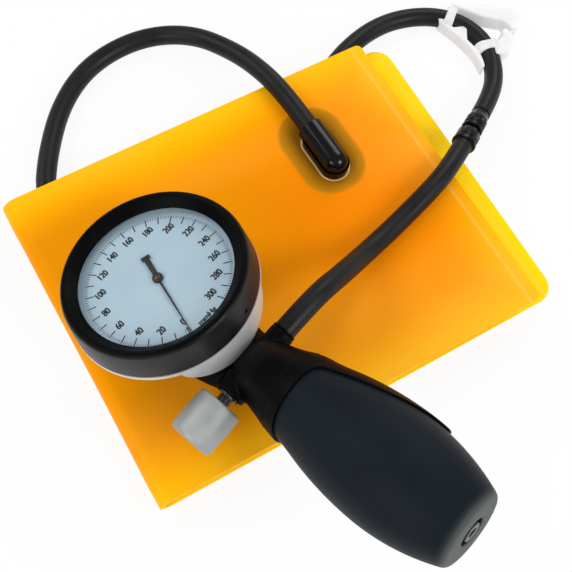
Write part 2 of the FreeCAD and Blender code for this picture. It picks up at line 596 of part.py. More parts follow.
def inlet_valve_body():
    """Insert in the bulb's tail, with the open bore, the ball's seat and its chamber."""
    foot, face, body_r = BULB_END - 11.5, BULB_END + 0.35, INLET_BORE - 0.05
    return lathe(
        (INLET_HOLE_R, face), (5.1, face), (5.4, face - 0.3), (6.3, BULB_END - 2.0), (body_r, BULB_END - 2.0),
        (body_r, foot), (1.6, foot), (1.6, foot + 1.3), (3.1, foot + 1.3), (3.1, CHAMBER_END),
        (INLET_HOLE_R, CHAMBER_END),
    )


def inlet_valve_ball():
    ball = Part.makeSphere(BALL_R)
    ball.translate(V(0, 0, CHAMBER_END - 1.75))
    return ball


# ---- hoses -------------------------------------------------------------------------------------
def hose_path(points):
    """The wire of straight runs joined by tangent arcs as large as the runs allow, and the arcs' radii."""
    points = [V(*p) for p in points]
    edges, here, radii = [], points[0], []
    for before, corner, after in zip(points, points[1:], points[2:]):
        a, b = (before - corner), (after - corner)
        half_turn = (math.pi - a.getAngle(b)) / 2
        trim = 0.45 * min(a.Length, b.Length)
        radius = trim / math.tan(half_turn)
        a.normalize()
        b.normalize()
        start, end = corner + a * trim, corner + b * trim
        bisector = a + b
        bisector.normalize()
        middle = corner + bisector * (radius / math.cos(half_turn) - radius)
        edges.append(Part.LineSegment(here, start).toShape())
        edges.append(Part.Arc(start, middle, end).toShape())
        here = end
        radii.append(round(radius, 1))
    edges.append(Part.LineSegment(here, points[-1]).toShape())
    return Part.Wire(edges), radii


def swept(wire, radius):
    """A round bar of the given radius along the path."""
    start = wire.Edges[0]
    circle = Part.Circle(start.Vertexes[0].Point, start.tangentAt(start.FirstParameter), radius)
    return wire.makePipeShell([Part.Wire([circle.toShape()])], True, False)


def hose(name, points):
    """A rubber hose, bored at both ends over the stems that it is pushed onto."""
    wire, radii = hose_path(points)
    solid = swept(wire, HOSE_R)
    print(name, "length", round(wire.Length, 1), "volume / (section x length)",
          round(solid.Volume / (math.pi * HOSE_R**2 * wire.Length), 4), "radii", radii)
    ends = []
    for end, beside in ((points[0], points[1]), (points[-1], points[-2])):
        direction = V(*beside) - V(*end)
        ends.append(Part.makeCylinder(HOSE_BORE_R, BORE_DEPTH, V(*end), direction))
    return solid.cut(ends)


BARB_LENGTH = 6.5


def barbs(z, away):
    """Outline of a stem inside a hose's end: two barbs, from its root at z outwards along +z or -z."""
    steps = [(1.7, 0), (1.7, 1.7), (2.0, 1.7), (1.6, 4.1), (2.0, 4.1), (1.5, BARB_LENGTH)]
    return [(radius, z + away * along) for radius, along in steps]


# ---- quick connector ---------------------------------------------------------------------------
def connector_frame():
    """From the gauge hose's end (local z = 0) to the cuff hose's end (local z = span)."""
    a, b = V(*GAUGE_HOSE[-1]), V(*CUFF_HOSE[-1])
    return FreeCAD.Placement(a, FreeCAD.Rotation(Z_AXIS, b - a)), (b - a).Length


CONNECTOR_FRAME, CONNECTOR_SPAN = connector_frame()
CONNECTOR_JOINT, SPIGOT_R = 10.0, 2.2  # where the halves meet, and the spigot in the socket


def ribs(radius, z, pitch, count, low):
    """Outline of a ribbed grip: count ribs of the given radius, from z on, with grooves down to low."""
    steps = []
    for k in range(count):
        z0 = z + pitch * k
        steps += [(low, z0), (radius, z0 + 0.15), (radius, z0 + pitch * 0.55), (low, z0 + pitch * 0.7)]
    return steps


def connector_male():
    """Half on the gauge hose: barbed tail, ribbed grip, waist, and the spigot that enters the socket."""
    grip_start, socket = 0.3, CONNECTOR_JOINT
    return lathe(
        (0.8, -BARB_LENGTH), *reversed(barbs(0, -1)), (4.3, 0.05), *ribs(5.2, grip_start, 1.5, 5, 4.5),
        (4.3, 8.2), (3.4, 8.7), (3.4, socket), (SPIGOT_R, socket), (SPIGOT_R, socket + 5.0),
        (0.8, socket + 5.0),
    )


def connector_female():
    """Half on the cuff hose: socket, flange, ribbed grip and barbed tail."""
    end, mouth = CONNECTOR_SPAN - 0.05, CONNECTOR_JOINT + 0.1
    bore_r, bore_end = SPIGOT_R + 0.1, CONNECTOR_JOINT + 5.2
    return lathe(
        (bore_r, mouth), (4.2, mouth), (4.8, mouth + 0.5), (4.8, mouth + 1.7), (4.0, mouth + 2.1),
        *ribs(4.8, mouth + 2.5, 1.5, 4, 4.1), (4.1, end - 0.55), (3.9, end), *barbs(end, 1),
        (0.8, end + BARB_LENGTH), (0.8, bore_end), (bore_r, bore_end),
    )


# ---- pinch clamp -------------------------------------------------------------------------------
CLAMP_A, CLAMP_B = V(133.0, 67.6, 0), V(142.1, 45.2, 0)  # the clamp's own x runs from A to B
CLAMP_FOOT, CLAMP_TOP = 0.4, 8.9
STRIP_TOP, LEVER_TOP = CLAMP_TOP - 1.4, CLAMP_TOP - 0.6
RINGS = [(1.2, 1.3, 17.6, 4.4), (24.1, -1.0, -35.3, 4.8)]  # x, y, skew, thickness: square to the bent hose


def clamp_frame():
    """Local y points to the outside of the hose's bend."""
    chord = CLAMP_B - CLAMP_A
    return FreeCAD.Placement(CLAMP_A, FreeCAD.Rotation(Z_AXIS, math.degrees(math.atan2(chord.y, chord.x))))


CLAMP_FRAME = clamp_frame()


def clamp_ring(x, y, skew, thickness):
    """Ring plate square to the hose, rounded above; the hose passes through it."""
    half, shoulder = 5.6, CLAMP_TOP - 3.2
    side = [
        (-half, CLAMP_FOOT), (half, CLAMP_FOOT), (half, shoulder),
        ("arc", (half - 1.0, CLAMP_TOP - 1.0), (half - 3.2, CLAMP_TOP)), (3.2 - half, CLAMP_TOP),
        ("arc", (1.0 - half, CLAMP_TOP - 1.0), (-half, shoulder)),
    ]
    face = Part.Face(wire_of(side, lambda p: V(-thickness / 2, p[0], p[1])))
    ring = face.extrude(V(thickness, 0, 0))
    ring.rotate(V(), Z_AXIS, skew)
    ring.translate(V(x, y, 0))
    return ring


def pinch_clamp():
    """Moulded strip with a ring at each end, a wedge against the hose and a latch hook."""
    strip = plate([
        (-2.6, -3.6), (-1.0, -4.6), (12.2, -5.9), (18.8, -7.4), ("arc", (24.0, -9.6), (28.6, -12.4)),
        (29.4, -11.6), ("arc", (25.0, -7.9), (18.4, -5.4)), (12.0, -4.0), (-1.0, -2.4),
    ], CLAMP_FOOT, STRIP_TOP)
    wedge = plate([(4.6, -4.6), (9.4, 0.9), (10.8, 0.9), (14.8, -4.6)], CLAMP_FOOT, STRIP_TOP)
    hook = plate([
        (26.0, 1.0), (26.4, 8.2), (24.4, 10.2), (25.2, 12.2), (28.0, 12.0), ("arc", (32.0, 8.6), (33.4, 3.2)),
        (32.6, 0.0), (29.4, -3.4),
    ], CLAMP_FOOT, LEVER_TOP)
    hinge_lug = plate([(-2.6, 4.0), (2.2, 4.0), (1.2, 6.4), (-2.0, 6.4)], CLAMP_FOOT, LEVER_TOP)
    body = strip.fuse([wedge, hook, hinge_lug] + [clamp_ring(*ring) for ring in RINGS])
    return body.cut(placed(clamped_hose(HOSE_R + 0.12), CLAMP_FRAME.inverse()))


def clamped_hose(radius):
    """The stretch of cuff hose inside the clamp, at the given radius."""
    wire, _ = hose_path(CUFF_HOSE)
    around_clamp = block(110, 160, 20, 90, -5, 20)
    return swept(wire, radius).common(around_clamp)


def clamp_lever():
    """Lever on the living hinge, swung open: it widens to a thumb end beyond the latch hook."""
    return plate([
        (-2.0, 6.6), (1.7, 7.6), ("arc", (7.4, 9.0), (14.1, 10.8)), (21.7, 14.8), (27.6, 14.4), (29.4, 16.4),
        (25.8, 23.2), ("arc", (24.2, 24.9), (21.4, 24.4)), ("arc", (12.0, 17.6), (3.0, 10.9)), (-1.8, 9.2),
        ("arc", (-2.8, 8.0), (-2.0, 6.6)),
    ], CLAMP_FOOT, LEVER_TOP)


# ---- cuff --------------------------------------------------------------------------------------
def panel(edge_x, edge_skew, z0, z1, corner):
    """Flat sheet from the fold to its free edge, with rounded free corners."""
    half = CUFF_WIDTH / 2
    inset = corner * (1 - math.sqrt(0.5))

    def fold_at(y):
        return FOLD.Base.x - y * math.tan(math.radians(FOLD_SKEW))

    def edge_at(y):
        return edge_x - y * math.tan(math.radians(edge_skew))

    return plate([
        (fold_at(-half), -half), (edge_at(-half) - corner, -half),
        ("arc", (edge_at(-half) - inset, inset - half), (edge_at(corner - half), corner - half)),
        (edge_at(half - corner), half - corner),
        ("arc", (edge_at(half) - inset, half - inset), (edge_at(half) - corner, half)),
        (fold_at(half), half),
    ], z0, z1)


def slot(grow, z0, z1):
    """Rounded slot around the port, in the port's frame (the hose leaves it along +y at y = 0)."""
    gap = SLOT_GAP + grow
    w = PORT_R + gap
    y0, y1 = -PORT_LENGTH - gap, 1.0 + grow
    return plate([
        (-w, y0 + w), ("arc", (0, y0), (w, y0 + w)), (w, y1 - w), ("arc", (0, y1), (-w, y1 - w)),
    ], z0, z1)


def cuff_front_panel():
    corner = 2.5
    sheet = panel(FRONT_EDGE_X, EDGE_SKEW, CUFF_TOP - SHEET, CUFF_TOP, corner)
    return sheet.cut(placed(slot(0, -20, 20), PORT))


def cuff_back_panel():
    back_skew, corner = 0.2, 8.0
    return panel(BACK_EDGE_X, back_skew, 0, SHEET, corner)


def fold_quarter(upper):
    """Half of the bend, from the hinge line to the flap above or below it."""
    outside, inside = [
        Part.makeCylinder(radius, CUFF_WIDTH, V(0, -CUFF_WIDTH / 2, 0), Y_AXIS)
        for radius in (FOLD_RADIUS, FOLD_RADIUS - SHEET)
    ]
    z0, z1 = (0, FOLD_RADIUS + 1) if upper else (-FOLD_RADIUS - 1, 0)
    return outside.cut(inside).common(block(-FOLD_RADIUS - 1, 0, -CUFF_WIDTH, CUFF_WIDTH, z0, z1))


def port_flange():
    """Thin plate welded under the upper sheet around the slot."""
    w, h = FLANGE_HALF
    middle, corner, bevel, thick = -PORT_LENGTH / 2 + 3.5, 9.0, 2.6, 0.45
    low, high = middle - h, middle + h
    return plate([
        (-w, low + corner), ("arc", (-w + bevel, low + bevel), (-w + corner, low)),
        (w - corner, low), ("arc", (w - bevel, low + bevel), (w, low + corner)),
        (w, high - corner), ("arc", (w - bevel, high - bevel), (w - corner, high)),
        (-w + corner, high), ("arc", (-w + bevel, high - bevel), (-w, high - corner)),
    ], -thick, 0)


def cuff_port():
    """Glossy elbow lying in the slot, on a foot that stands on the flange, with a stem for the hose."""
    barrel = Part.makeCylinder(PORT_R, PORT_LENGTH - PORT_R, V(0, PORT_R - PORT_LENGTH, 0), Y_AXIS)
    nose = Part.makeSphere(PORT_R, V(0, PORT_R - PORT_LENGTH, 0))
    foot = slot(-SLOT_GAP - 0.5, FLANGE_TOP, 0).common(block(-20, 20, -PORT_LENGTH, 0, -20, 20))
    stem = lathe((0, -0.5), (2.0, -0.5), *barbs(0.05, 1), (0, BARB_LENGTH + 0.05))
    stem.rotate(V(), X_AXIS, -90)
    return barrel.fuse([nose, foot, stem])


# ---- build -------------------------------------------------------------------------------------
PIECES = {
    "bezel_ring": (bezel_ring, GAUGE),
    "bezel_screws": (bezel_screws, GAUGE),
    "lens": (lens, GAUGE),
    "lens_gasket": (lens_gasket, GAUGE),
    "gauge_case": (gauge_case, GAUGE),
    "pressure_nipple": (pressure_nipple, GAUGE),
    "dial_plate": (dial_plate, GAUGE),
    "diaphragm_capsule": (diaphragm_capsule, GAUGE),
    "capsule_pin": (capsule_pin, GAUGE),
    "movement_bottom_plate": (movement_bottom_plate, GAUGE),
    "movement_top_plate": (movement_top_plate, GAUGE),
    "movement_pillars": (movement_pillars, GAUGE),
    "rocking_shaft": (rocking_shaft, GAUGE),
    "sector_gear": (sector_gear, GAUGE),
    "pinion_arbor": (pinion_arbor, GAUGE),
    "hairspring": (hairspring, GAUGE),
    "pointer": (pointer, GAUGE),
    "handle_body": (handle_body, FreeCAD.Placement()),
    "hose_spout": (hose_spout, UNIT.multiply(SPOUT_SIDE)),
    "valve_bush": (valve_bush, UNIT.multiply(VALVE_SIDE)),
    "valve_needle": (valve_needle, UNIT.multiply(VALVE_SIDE)),
    "valve_knob": (valve_knob, UNIT.multiply(VALVE_SIDE)),
    "outlet_valve_body": (outlet_valve_body, UNIT.multiply(ALONG)),
    "outlet_valve_disc": (outlet_valve_disc, UNIT.multiply(ALONG)),
    "bulb": (bulb, UNIT.multiply(ALONG)),
    "inlet_valve_body": (inlet_valve_body, UNIT.multiply(ALONG)),
    "inlet_valve_ball": (inlet_valve_ball, UNIT.multiply(ALONG)),
    "gauge_hose": (lambda: hose("gauge_hose", GAUGE_HOSE), FreeCAD.Placement()),
    "cuff_hose": (lambda: hose("cuff_hose", CUFF_HOSE), FreeCAD.Placement()),
    "connector_male": (connector_male, CONNECTOR_FRAME),
    "connector_female": (connector_female, CONNECTOR_FRAME),
    "pinch_clamp": (pinch_clamp, CLAMP_FRAME),
    "clamp_lever": (clamp_lever, CLAMP_FRAME),
    "cuff_front_panel": (cuff_front_panel, FreeCAD.Placement()),
    "cuff_back_panel": (cuff_back_panel, FreeCAD.Placement()),
    "cuff_fold_upper": (lambda: fold_quarter(True), FOLD),
    "cuff_fold_lower": (lambda: fold_quarter(False), FOLD),
    "port_flange": (port_flange, FLANGE_FRAME),
    "cuff_port": (cuff_port, PORT),
}

if __name__ == "__main__":
    os.makedirs("parts", exist_ok=True)
    for name, (make, frame) in PIECES.items():
        export(name, placed(make(), frame))
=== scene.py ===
"""Palm-held aneroid sphygmomanometer on its folded cuff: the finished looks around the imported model."""

import bpy
import json
import math
from mathutils import Matrix, Vector


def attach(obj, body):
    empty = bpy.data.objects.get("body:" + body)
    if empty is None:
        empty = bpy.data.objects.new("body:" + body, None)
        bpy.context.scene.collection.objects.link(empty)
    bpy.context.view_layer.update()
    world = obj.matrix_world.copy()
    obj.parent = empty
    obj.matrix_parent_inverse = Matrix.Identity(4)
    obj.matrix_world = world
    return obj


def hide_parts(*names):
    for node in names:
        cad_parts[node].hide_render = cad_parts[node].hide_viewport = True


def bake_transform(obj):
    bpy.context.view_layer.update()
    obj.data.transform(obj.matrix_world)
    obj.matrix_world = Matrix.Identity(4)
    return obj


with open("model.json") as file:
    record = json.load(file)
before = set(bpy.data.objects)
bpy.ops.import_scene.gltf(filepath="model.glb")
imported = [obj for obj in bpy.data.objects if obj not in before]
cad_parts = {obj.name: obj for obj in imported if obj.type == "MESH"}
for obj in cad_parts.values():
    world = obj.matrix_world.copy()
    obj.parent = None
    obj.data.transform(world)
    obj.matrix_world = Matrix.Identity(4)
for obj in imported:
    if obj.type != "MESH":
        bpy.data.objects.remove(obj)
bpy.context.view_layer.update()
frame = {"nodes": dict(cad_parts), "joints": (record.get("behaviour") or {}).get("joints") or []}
MM = 0.001
joints = {joint["name"]: joint for joint in frame["joints"]}


# ---- camera --------------------------------------------------------------------------------------
# The camera looks down on the cuff, 21 degrees off the vertical, with its right side turned 29 degrees
# from +X towards -Y.
CAMERA_PLACE = Vector((-0.0707, -0.1134, 0.3245))
CAMERA_RIGHT = Vector((0.8722, -0.4873, 0.0427))
CAMERA_FORWARD = Vector((0.2075, 0.2896, -0.9344))
CAMERA_LENS, SENSOR = 52.2, 36.0


def frame_of(place, x_axis, y_axis, z_axis):
    """The matrix of a frame with these axes at this place."""
    axes = Matrix((x_axis, y_axis, z_axis)).transposed()
    return Matrix.Translation(place) @ axes.to_4x4()


bpy.ops.object.camera_add()
camera = bpy.context.object
camera.data.sensor_width = SENSOR
camera.data.lens = CAMERA_LENS
camera_up = CAMERA_RIGHT.cross(CAMERA_FORWARD)
camera.matrix_world = frame_of(CAMERA_PLACE, CAMERA_RIGHT, camera_up, -CAMERA_FORWARD)
bpy.context.scene.camera = camera


# ---- floor and light -----------------------------------------------------------------------------
# A white table under a dim white surround. The key lamp stands beyond the bulb, and three weaker ones
# fill the other sides.
FLOOR_SIZE, FLOOR_DROP, FLOOR_GLOW = 4.0, 0.0003, 0.9
SURROUND = 0.42
LAMP_TARGET = Vector((0, 0, 0.02))


def feed(tree, socket, value):
    """Links a socket to the one that drives it, or sets it to a value."""
    if isinstance(value, bpy.types.NodeSocket):
        tree.links.new(value, socket)
    else:
        socket.default_value = value


def set_up(tree, node, **values):
    """Sets a node's properties and feeds its sockets by name, with _ for a space."""
    for name, value in values.items():
        if hasattr(node, name):
            setattr(node, name, value)
        else:
            feed(tree, node.inputs[name.replace("_", " ")], value)


def new_material(name, **values):
    """A material, its tree and its shader, with the shader set up."""
    material = bpy.data.materials.new(name)
    material.use_nodes = True
    tree = material.node_tree
    shader = tree.nodes["Principled BSDF"]
    set_up(tree, shader, **values)
    return material, tree, shader


def add_node(tree, kind, *drivers, **values):
    """Adds a node and sets it up; the drivers feed its first sockets, in their order."""
    node = tree.nodes.new("ShaderNode" + kind)
    set_up(tree, node, **values)
    for socket, driver in zip(node.inputs, drivers):
        feed(tree, socket, driver)
    return node


def added(shape, **settings):
    """A new primitive, active and alone selected, that the next operators shape."""
    bpy.ops.object.select_all(action="DESELECT")
    getattr(bpy.ops.mesh, f"primitive_{shape}_add")(**settings)
    return bpy.context.object


def coat(piece, material):
    """Gives a piece one finish all over."""
    piece.data.materials.clear()
    piece.data.materials.append(material)


def floor_paint():
    """White paint that looks nearly white to the camera and in reflections, and still takes shadows."""
    material, tree, shader = new_material("white_table", Base_Color=(0.9, 0.9, 0.9, 1), Roughness=0.9)
    glow = add_node(tree, "Emission", Strength=1.0)
    path = add_node(tree, "LightPath").outputs
    seen = add_node(tree, "Math", path["Is Camera Ray"], path["Is Glossy Ray"], operation="MAXIMUM")
    share = add_node(tree, "Math", seen.outputs[0], FLOOR_GLOW, operation="MULTIPLY")
    mix = add_node(tree, "MixShader", share.outputs[0], shader.outputs[0], glow.outputs[0])
    feed(tree, tree.nodes["Material Output"].inputs["Surface"], mix.outputs[0])
    return material


floor = added("plane", size=FLOOR_SIZE, location=(0, 0, -FLOOR_DROP))
floor.name = "floor"
coat(floor, floor_paint())


def soft_lamp(name, place, size, watts):
    """A square area lamp that faces the middle of the cuff."""
    bpy.ops.object.light_add(type="AREA", location=place)
    lamp = bpy.context.object
    lamp.name = name
    lamp.data.size = size
    lamp.data.energy = watts
    lamp.rotation_euler = (LAMP_TARGET - Vector(place)).to_track_quat("-Z", "Y").to_euler()


LAMPS = {  # place, size in metres, watts
    "lamp_key": ((0.42, -0.72, 0.68), 0.45, 4.8),
    "lamp_left": ((-0.75, -0.25, 0.6), 0.5, 2.9),
    "lamp_back": ((-0.5, 0.7, 0.75), 0.5, 2.9),
    "lamp_right": ((0.7, 0.55, 0.7), 0.5, 3.0),
}
for name, (place, size, watts) in LAMPS.items():
    soft_lamp(name, place, size, watts)

world = bpy.data.worlds.new("studio")
bpy.context.scene.world = world
world.use_nodes = True
set_up(world.node_tree, world.node_tree.nodes["Background"], Color=(1, 1, 1, 1), Strength=SURROUND)
bpy.context.scene.view_settings.view_transform = "Standard"


# ---- cuff ----------------------------------------------------------------------------------------
# One sheet of coated film welded along its edges, folded once: a deep orange flap over a longer, lemon
# one. The port stands in a slot of the upper flap, and its flange shows through the film.
FLAP_HALF = 70.0
FOLD_CENTRE_X, FOLD_MIDDLE_R, FOLD_Z = -79.8, 5.5, 6.5
FOLD_SLOPE, UPPER_SLOPE, LOWER_SLOPE = 0.0262, 0.0192, 0.0035
UPPER_EDGE_X, LOWER_EDGE_X = 86.3, 99.5
UPPER_CORNER, LOWER_CORNER = 2.5, 8.0
UPPER_STEPS, FOLD_STEPS, LOWER_STEPS, ACROSS_STEPS = 96, 16, 100, 84
SHEET_STEPS = UPPER_STEPS + FOLD_STEPS + LOWER_STEPS
EDGE_CROWDING, SIDE_CROWDING = 1.35, 1.2  # the grid's steps are closer together at the sheet's edges
FILM = 1.9
WELD_INSET, WELD_SINK, WELD_WIDTH, WELD_FADE = 4.6, 0.06, 0.55, 0.45
MARGIN_SINK, MARGIN_START, MARGIN_BLEND, MARGIN_FADE = 0.1, 4.0, 3.4, 1.6
WAVE_DEPTH, WAVE_START, WAVE_BLEND, LOWER_WAVES = 0.3, 8.0, 16.0, 0.35
FAR_INSIDE = 30.0  # an inset where the waves have their full depth
RIM_LIGHT_REACH = 26.0  # painted light: the film is brighter this near its edges
FILM_PAINTED_GLOW = 0.12  # painted glow: emission in the film's own colour that keeps its shaded parts bright
SHADE_CENTRE, SHADE_FULL_WITHIN, SHADE_ENDS_AT = (0.046, 0.002, 0.012), 0.012, 0.075  # centre of a painted shade on the upper flap, and the reach within which it is full and where it ends, in metres
# The first orange below is the colour of the painted shade in the flap's middle; the salmon one is a painted
# highlight's.
SHADE_ORANGE, SALMON_HIGHLIGHT, LIP_TONE = (0.86, 0.23, 0.0), (1.0, 0.44, 0.05), (0.9, 0.62, 0.34)
MARGIN_TONE, WELD_TONE = (1.0, 0.56, 0.02), (1.0, 0.6, 0.2)
TONE_TURN, TONE_BLEND = 0.7, 0.02  # how far round the fold the film turns lemon, and how gradually
PORT_TURN = math.radians(3.27)
PORT = Matrix.Translation((42.0, 40.0, 0)) @ Matrix.Rotation(PORT_TURN, 4, "Z")
SLOT_HALF, SLOT_END, SLOT_MOUTH = 6.6, -25.4, 1.0
SLOT_CUT_Z, SLOT_SEGMENTS, SLOT_FLAT = (9.0, 21.0), 14, 0.05
FLANGE_OVAL = (14.6, 21.6, 13.4, -9.4)  # half width, half length, corner radius and middle
SLOT_OVAL = (SLOT_HALF, (SLOT_MOUTH - SLOT_END) / 2, SLOT_HALF, (SLOT_MOUTH + SLOT_END) / 2)


def tag(piece, name, rule):
    """Stores a share from 0 to 1 at each vertex of the piece, worked out from the vertex's place."""
    share = piece.data.attributes.new(name, "FLOAT", "POINT")
    for vertex in piece.data.vertices:
        share.data[vertex.index].value = rule(vertex.co)


def tagged(tree, name):
    """The share that a piece's vertices carry under this name."""
    return add_node(tree, "Attribute", attribute_name=name).outputs["Fac"]


def speckle(tree, scale, detail=4.0, stretch=(1, 1, 1), turn=(0, 0, 0)):
    """Noise on Object coordinates, turned and stretched: its output runs from 0 to 1."""
    place = add_node(tree, "TexCoord").outputs["Object"]
    mapping = add_node(tree, "Mapping", place, Scale=stretch, Rotation=turn)
    return add_node(tree, "TexNoise", mapping.outputs["Vector"], Scale=scale, Detail=detail).outputs["Fac"]


def shades(tree, driver, *stops):
    """Colours at places along the driver's run: (place, red, green, blue), linear."""
    ramp = add_node(tree, "ValToRGB", driver)
    marks = ramp.color_ramp.elements
    while len(marks) < len(stops):
        marks.new(0.5)
    for mark, (place, *colour) in zip(marks, stops):
        mark.position = place
        mark.color = (*colour, 1)
    return ramp.outputs["Color"]


def spread(tree, driver, start, end, low=0.0, high=1.0, **values):
    """The driver's run from start to end, spread over low to high."""
    return add_node(tree, "MapRange", driver, start, end, low, high, **values).outputs["Result"]


def between(tree, noise, low, high):
    """Noise, which mostly stays within 0.3 and 0.7, spread over low to high."""
    return spread(tree, noise, 0.3, 0.7, low, high)


def product(tree, share, factor):
    """A share times a number or another share."""
    return add_node(tree, "Math", share, factor, operation="MULTIPLY").outputs[0]


def mixed(tree, share, first, second):
    """The first colour where the share is 0, the second, fixed or driven, where it is 1."""
    if isinstance(second, tuple):
        second = (*second, 1)
    return add_node(tree, "MixRGB", share, first, second).outputs["Color"]


def relief(tree, shader, height, depth, strength=1.0):
    """Bump of the given depth in metres, added to what the shader already has."""
    bump = add_node(tree, "Bump", Height=height, Distance=depth, Strength=strength)
    earlier = shader.inputs["Normal"].links
    if earlier:
        set_up(tree, bump, Normal=earlier[0].from_socket)
    set_up(tree, shader, Normal=bump.outputs["Normal"])


def ease(value):
    """0 to 1, level at both ends."""
    value = min(max(value, 0.0), 1.0)
    return value * value * (3 - 2 * value)


def edge_spacing(k, steps):
    """Share of the way along a flap at step k, with the steps closer together at the free edge."""
    return (k / steps) ** EDGE_CROWDING


def half_width(inset, corner):
    """Half the sheet's width at a distance from its free edge, where the corner is rounded."""
    if inset >= corner:
        return FLAP_HALF
    return FLAP_HALF - corner + math.sqrt(corner**2 - (corner - inset) ** 2)


def film_sink(inset, side_inset, x, y):
    """How far the film lies below its level: a welded line inside the edge, a thin margin, soft waves."""
    inside = min(inset, side_inset)
    margin = 1 - ease((inside - MARGIN_START) / MARGIN_BLEND)
    line = math.exp(-((inside - WELD_INSET) / WELD_WIDTH) ** 2)
    wave = 0.5 + 0.25 * math.sin(x / 17.0 + y / 31.0) + 0.25 * math.sin(y / 13.0 - x / 41.0 + 1.0)
    inner = ease((inside - WAVE_START) / WAVE_BLEND)
    return MARGIN_SINK * margin + WELD_SINK * line + WAVE_DEPTH * wave * inner


def sheet_place(i, j):
    """Place of the sheet's grid point: i runs from the upper free edge round the fold to the lower one."""
    across = 2.0 * j / ACROSS_STEPS - 1
    across = math.copysign(1 - (1 - abs(across)) ** SIDE_CROWDING, across)
    if i <= UPPER_STEPS:
        share, corner = edge_spacing(i, UPPER_STEPS), UPPER_CORNER
        inset = share * (UPPER_EDGE_X - FOLD_CENTRE_X)
        y = across * half_width(inset, corner)
        x0, x1 = UPPER_EDGE_X - y * UPPER_SLOPE, FOLD_CENTRE_X - y * FOLD_SLOPE
        x = x0 + (x1 - x0) * share
        return x, y, FOLD_Z + FOLD_MIDDLE_R - film_sink(inset, FLAP_HALF - abs(y), x, y)
    if i < UPPER_STEPS + FOLD_STEPS:
        turn = math.pi * (i - UPPER_STEPS) / FOLD_STEPS
        y = across * FLAP_HALF
        sink = film_sink(FAR_INSIDE, FLAP_HALF - abs(y), FOLD_CENTRE_X, y)
        radius = FOLD_MIDDLE_R - sink
        return FOLD_CENTRE_X - y * FOLD_SLOPE - radius * math.sin(turn), y, FOLD_Z + radius * math.cos(turn)
    share, corner = edge_spacing(SHEET_STEPS - i, LOWER_STEPS), LOWER_CORNER
    inset = share * (LOWER_EDGE_X - FOLD_CENTRE_X)
    y = across * half_width(inset, corner)
    x0, x1 = LOWER_EDGE_X - y * LOWER_SLOPE, FOLD_CENTRE_X - y * FOLD_SLOPE
    x = x0 + (x1 - x0) * share
    rise = LOWER_WAVES * film_sink(inset, FLAP_HALF - abs(y), x, y)
    return x, y, FOLD_Z - FOLD_MIDDLE_R + rise


def to_metres(piece):
    """Scales a mesh that was made in millimetres."""
    piece.data.transform(Matrix.Scale(MM, 4))


def pick(piece):
    """Selects one piece alone and makes it the active one."""
    bpy.ops.object.select_all(action="DESELECT")
    piece.select_set(True)
    bpy.context.view_layer.objects.active = piece


def use_modifier(piece, kind, **settings):
    """Adds a modifier and applies it."""
    pick(piece)
    modifier = piece.modifiers.new(kind.lower(), kind)
    for name, value in settings.items():
        setattr(modifier, name, value)
    bpy.ops.object.modifier_apply(modifier=modifier.name)


def cut(piece, tool):
    """Takes the tool's shape out of the piece, and the tool away."""
    use_modifier(piece, "BOOLEAN", operation="DIFFERENCE", solver="EXACT", object=tool)
    bpy.data.objects.remove(tool)


def rounded(piece, angle=35):
    """Smooth shading that keeps edges sharper than the angle."""
    pick(piece)
    bpy.ops.object.shade_smooth_by_angle(angle=math.radians(angle))


def slot_bar(inset, low, high):
    """Rounded bar in the slot, inset from its walls: a cube drawn out and rounded at its upright edges."""
    bar = added("cube", size=1)
    bar.scale = (2 * (SLOT_HALF - inset), SLOT_MOUTH - SLOT_END - 2 * inset, high - low)
    bar.location = (0, (SLOT_MOUTH + SLOT_END) / 2, (low + high) / 2)
    bpy.ops.object.transform_apply(location=True, rotation=False, scale=True)
    bpy.ops.object.mode_set(mode="EDIT")
    bpy.ops.mesh.select_all(action="DESELECT")
    bpy.ops.object.mode_set(mode="OBJECT")
    for edge in bar.data.edges:
        a, b = (bar.data.vertices[v].co for v in edge.vertices)
        edge.select = abs(a.z - b.z) > 0.5
    bpy.ops.object.mode_set(mode="EDIT")
    bpy.ops.mesh.bevel(offset=SLOT_HALF - inset - SLOT_FLAT, segments=SLOT_SEGMENTS, affect="EDGES")
    bpy.ops.object.mode_set(mode="OBJECT")
    bar.data.transform(PORT)
    to_metres(bar)
    return bar


def middle_share(tree):
    """Share of the painted shade: 1 in the middle of the upper flap, between gauge and port, falling to 0
    some way off.
    """
    place = add_node(tree, "TexCoord").outputs["Object"]
    reach = add_node(tree, "VectorMath", place, SHADE_CENTRE, operation="DISTANCE").outputs["Value"]
    return spread(tree, reach, SHADE_ENDS_AT, SHADE_FULL_WITHIN, interpolation_type="SMOOTHSTEP")


def oval_distance(tree, half_x, half_y, corner, middle_y):
    """Distance from a rounded oblong round the port, seen from above, below zero inside it."""
    centre = PORT @ Vector((0, middle_y, 0)) * MM
    place = add_node(tree, "TexCoord").outputs["Object"]
    shifted = add_node(tree, "VectorMath", place, (centre.x, centre.y, 0), operation="SUBTRACT")
    level = add_node(tree, "VectorRotate", shifted.outputs[0], rotation_type="Z_AXIS", Angle=-PORT_TURN)
    folded = add_node(tree, "VectorMath", level.outputs[0], operation="ABSOLUTE")
    corner_at = ((half_x - corner) * MM, (half_y - corner) * MM, 1)
    past = add_node(tree, "VectorMath", folded.outputs[0], corner_at, operation="SUBTRACT")
    beyond = add_node(tree, "VectorMath", past.outputs[0], operation="MAXIMUM")
    length = add_node(tree, "VectorMath", beyond.outputs[0], operation="LENGTH").outputs["Value"]
    return add_node(tree, "Math", length, corner * MM, operation="SUBTRACT").outputs[0]


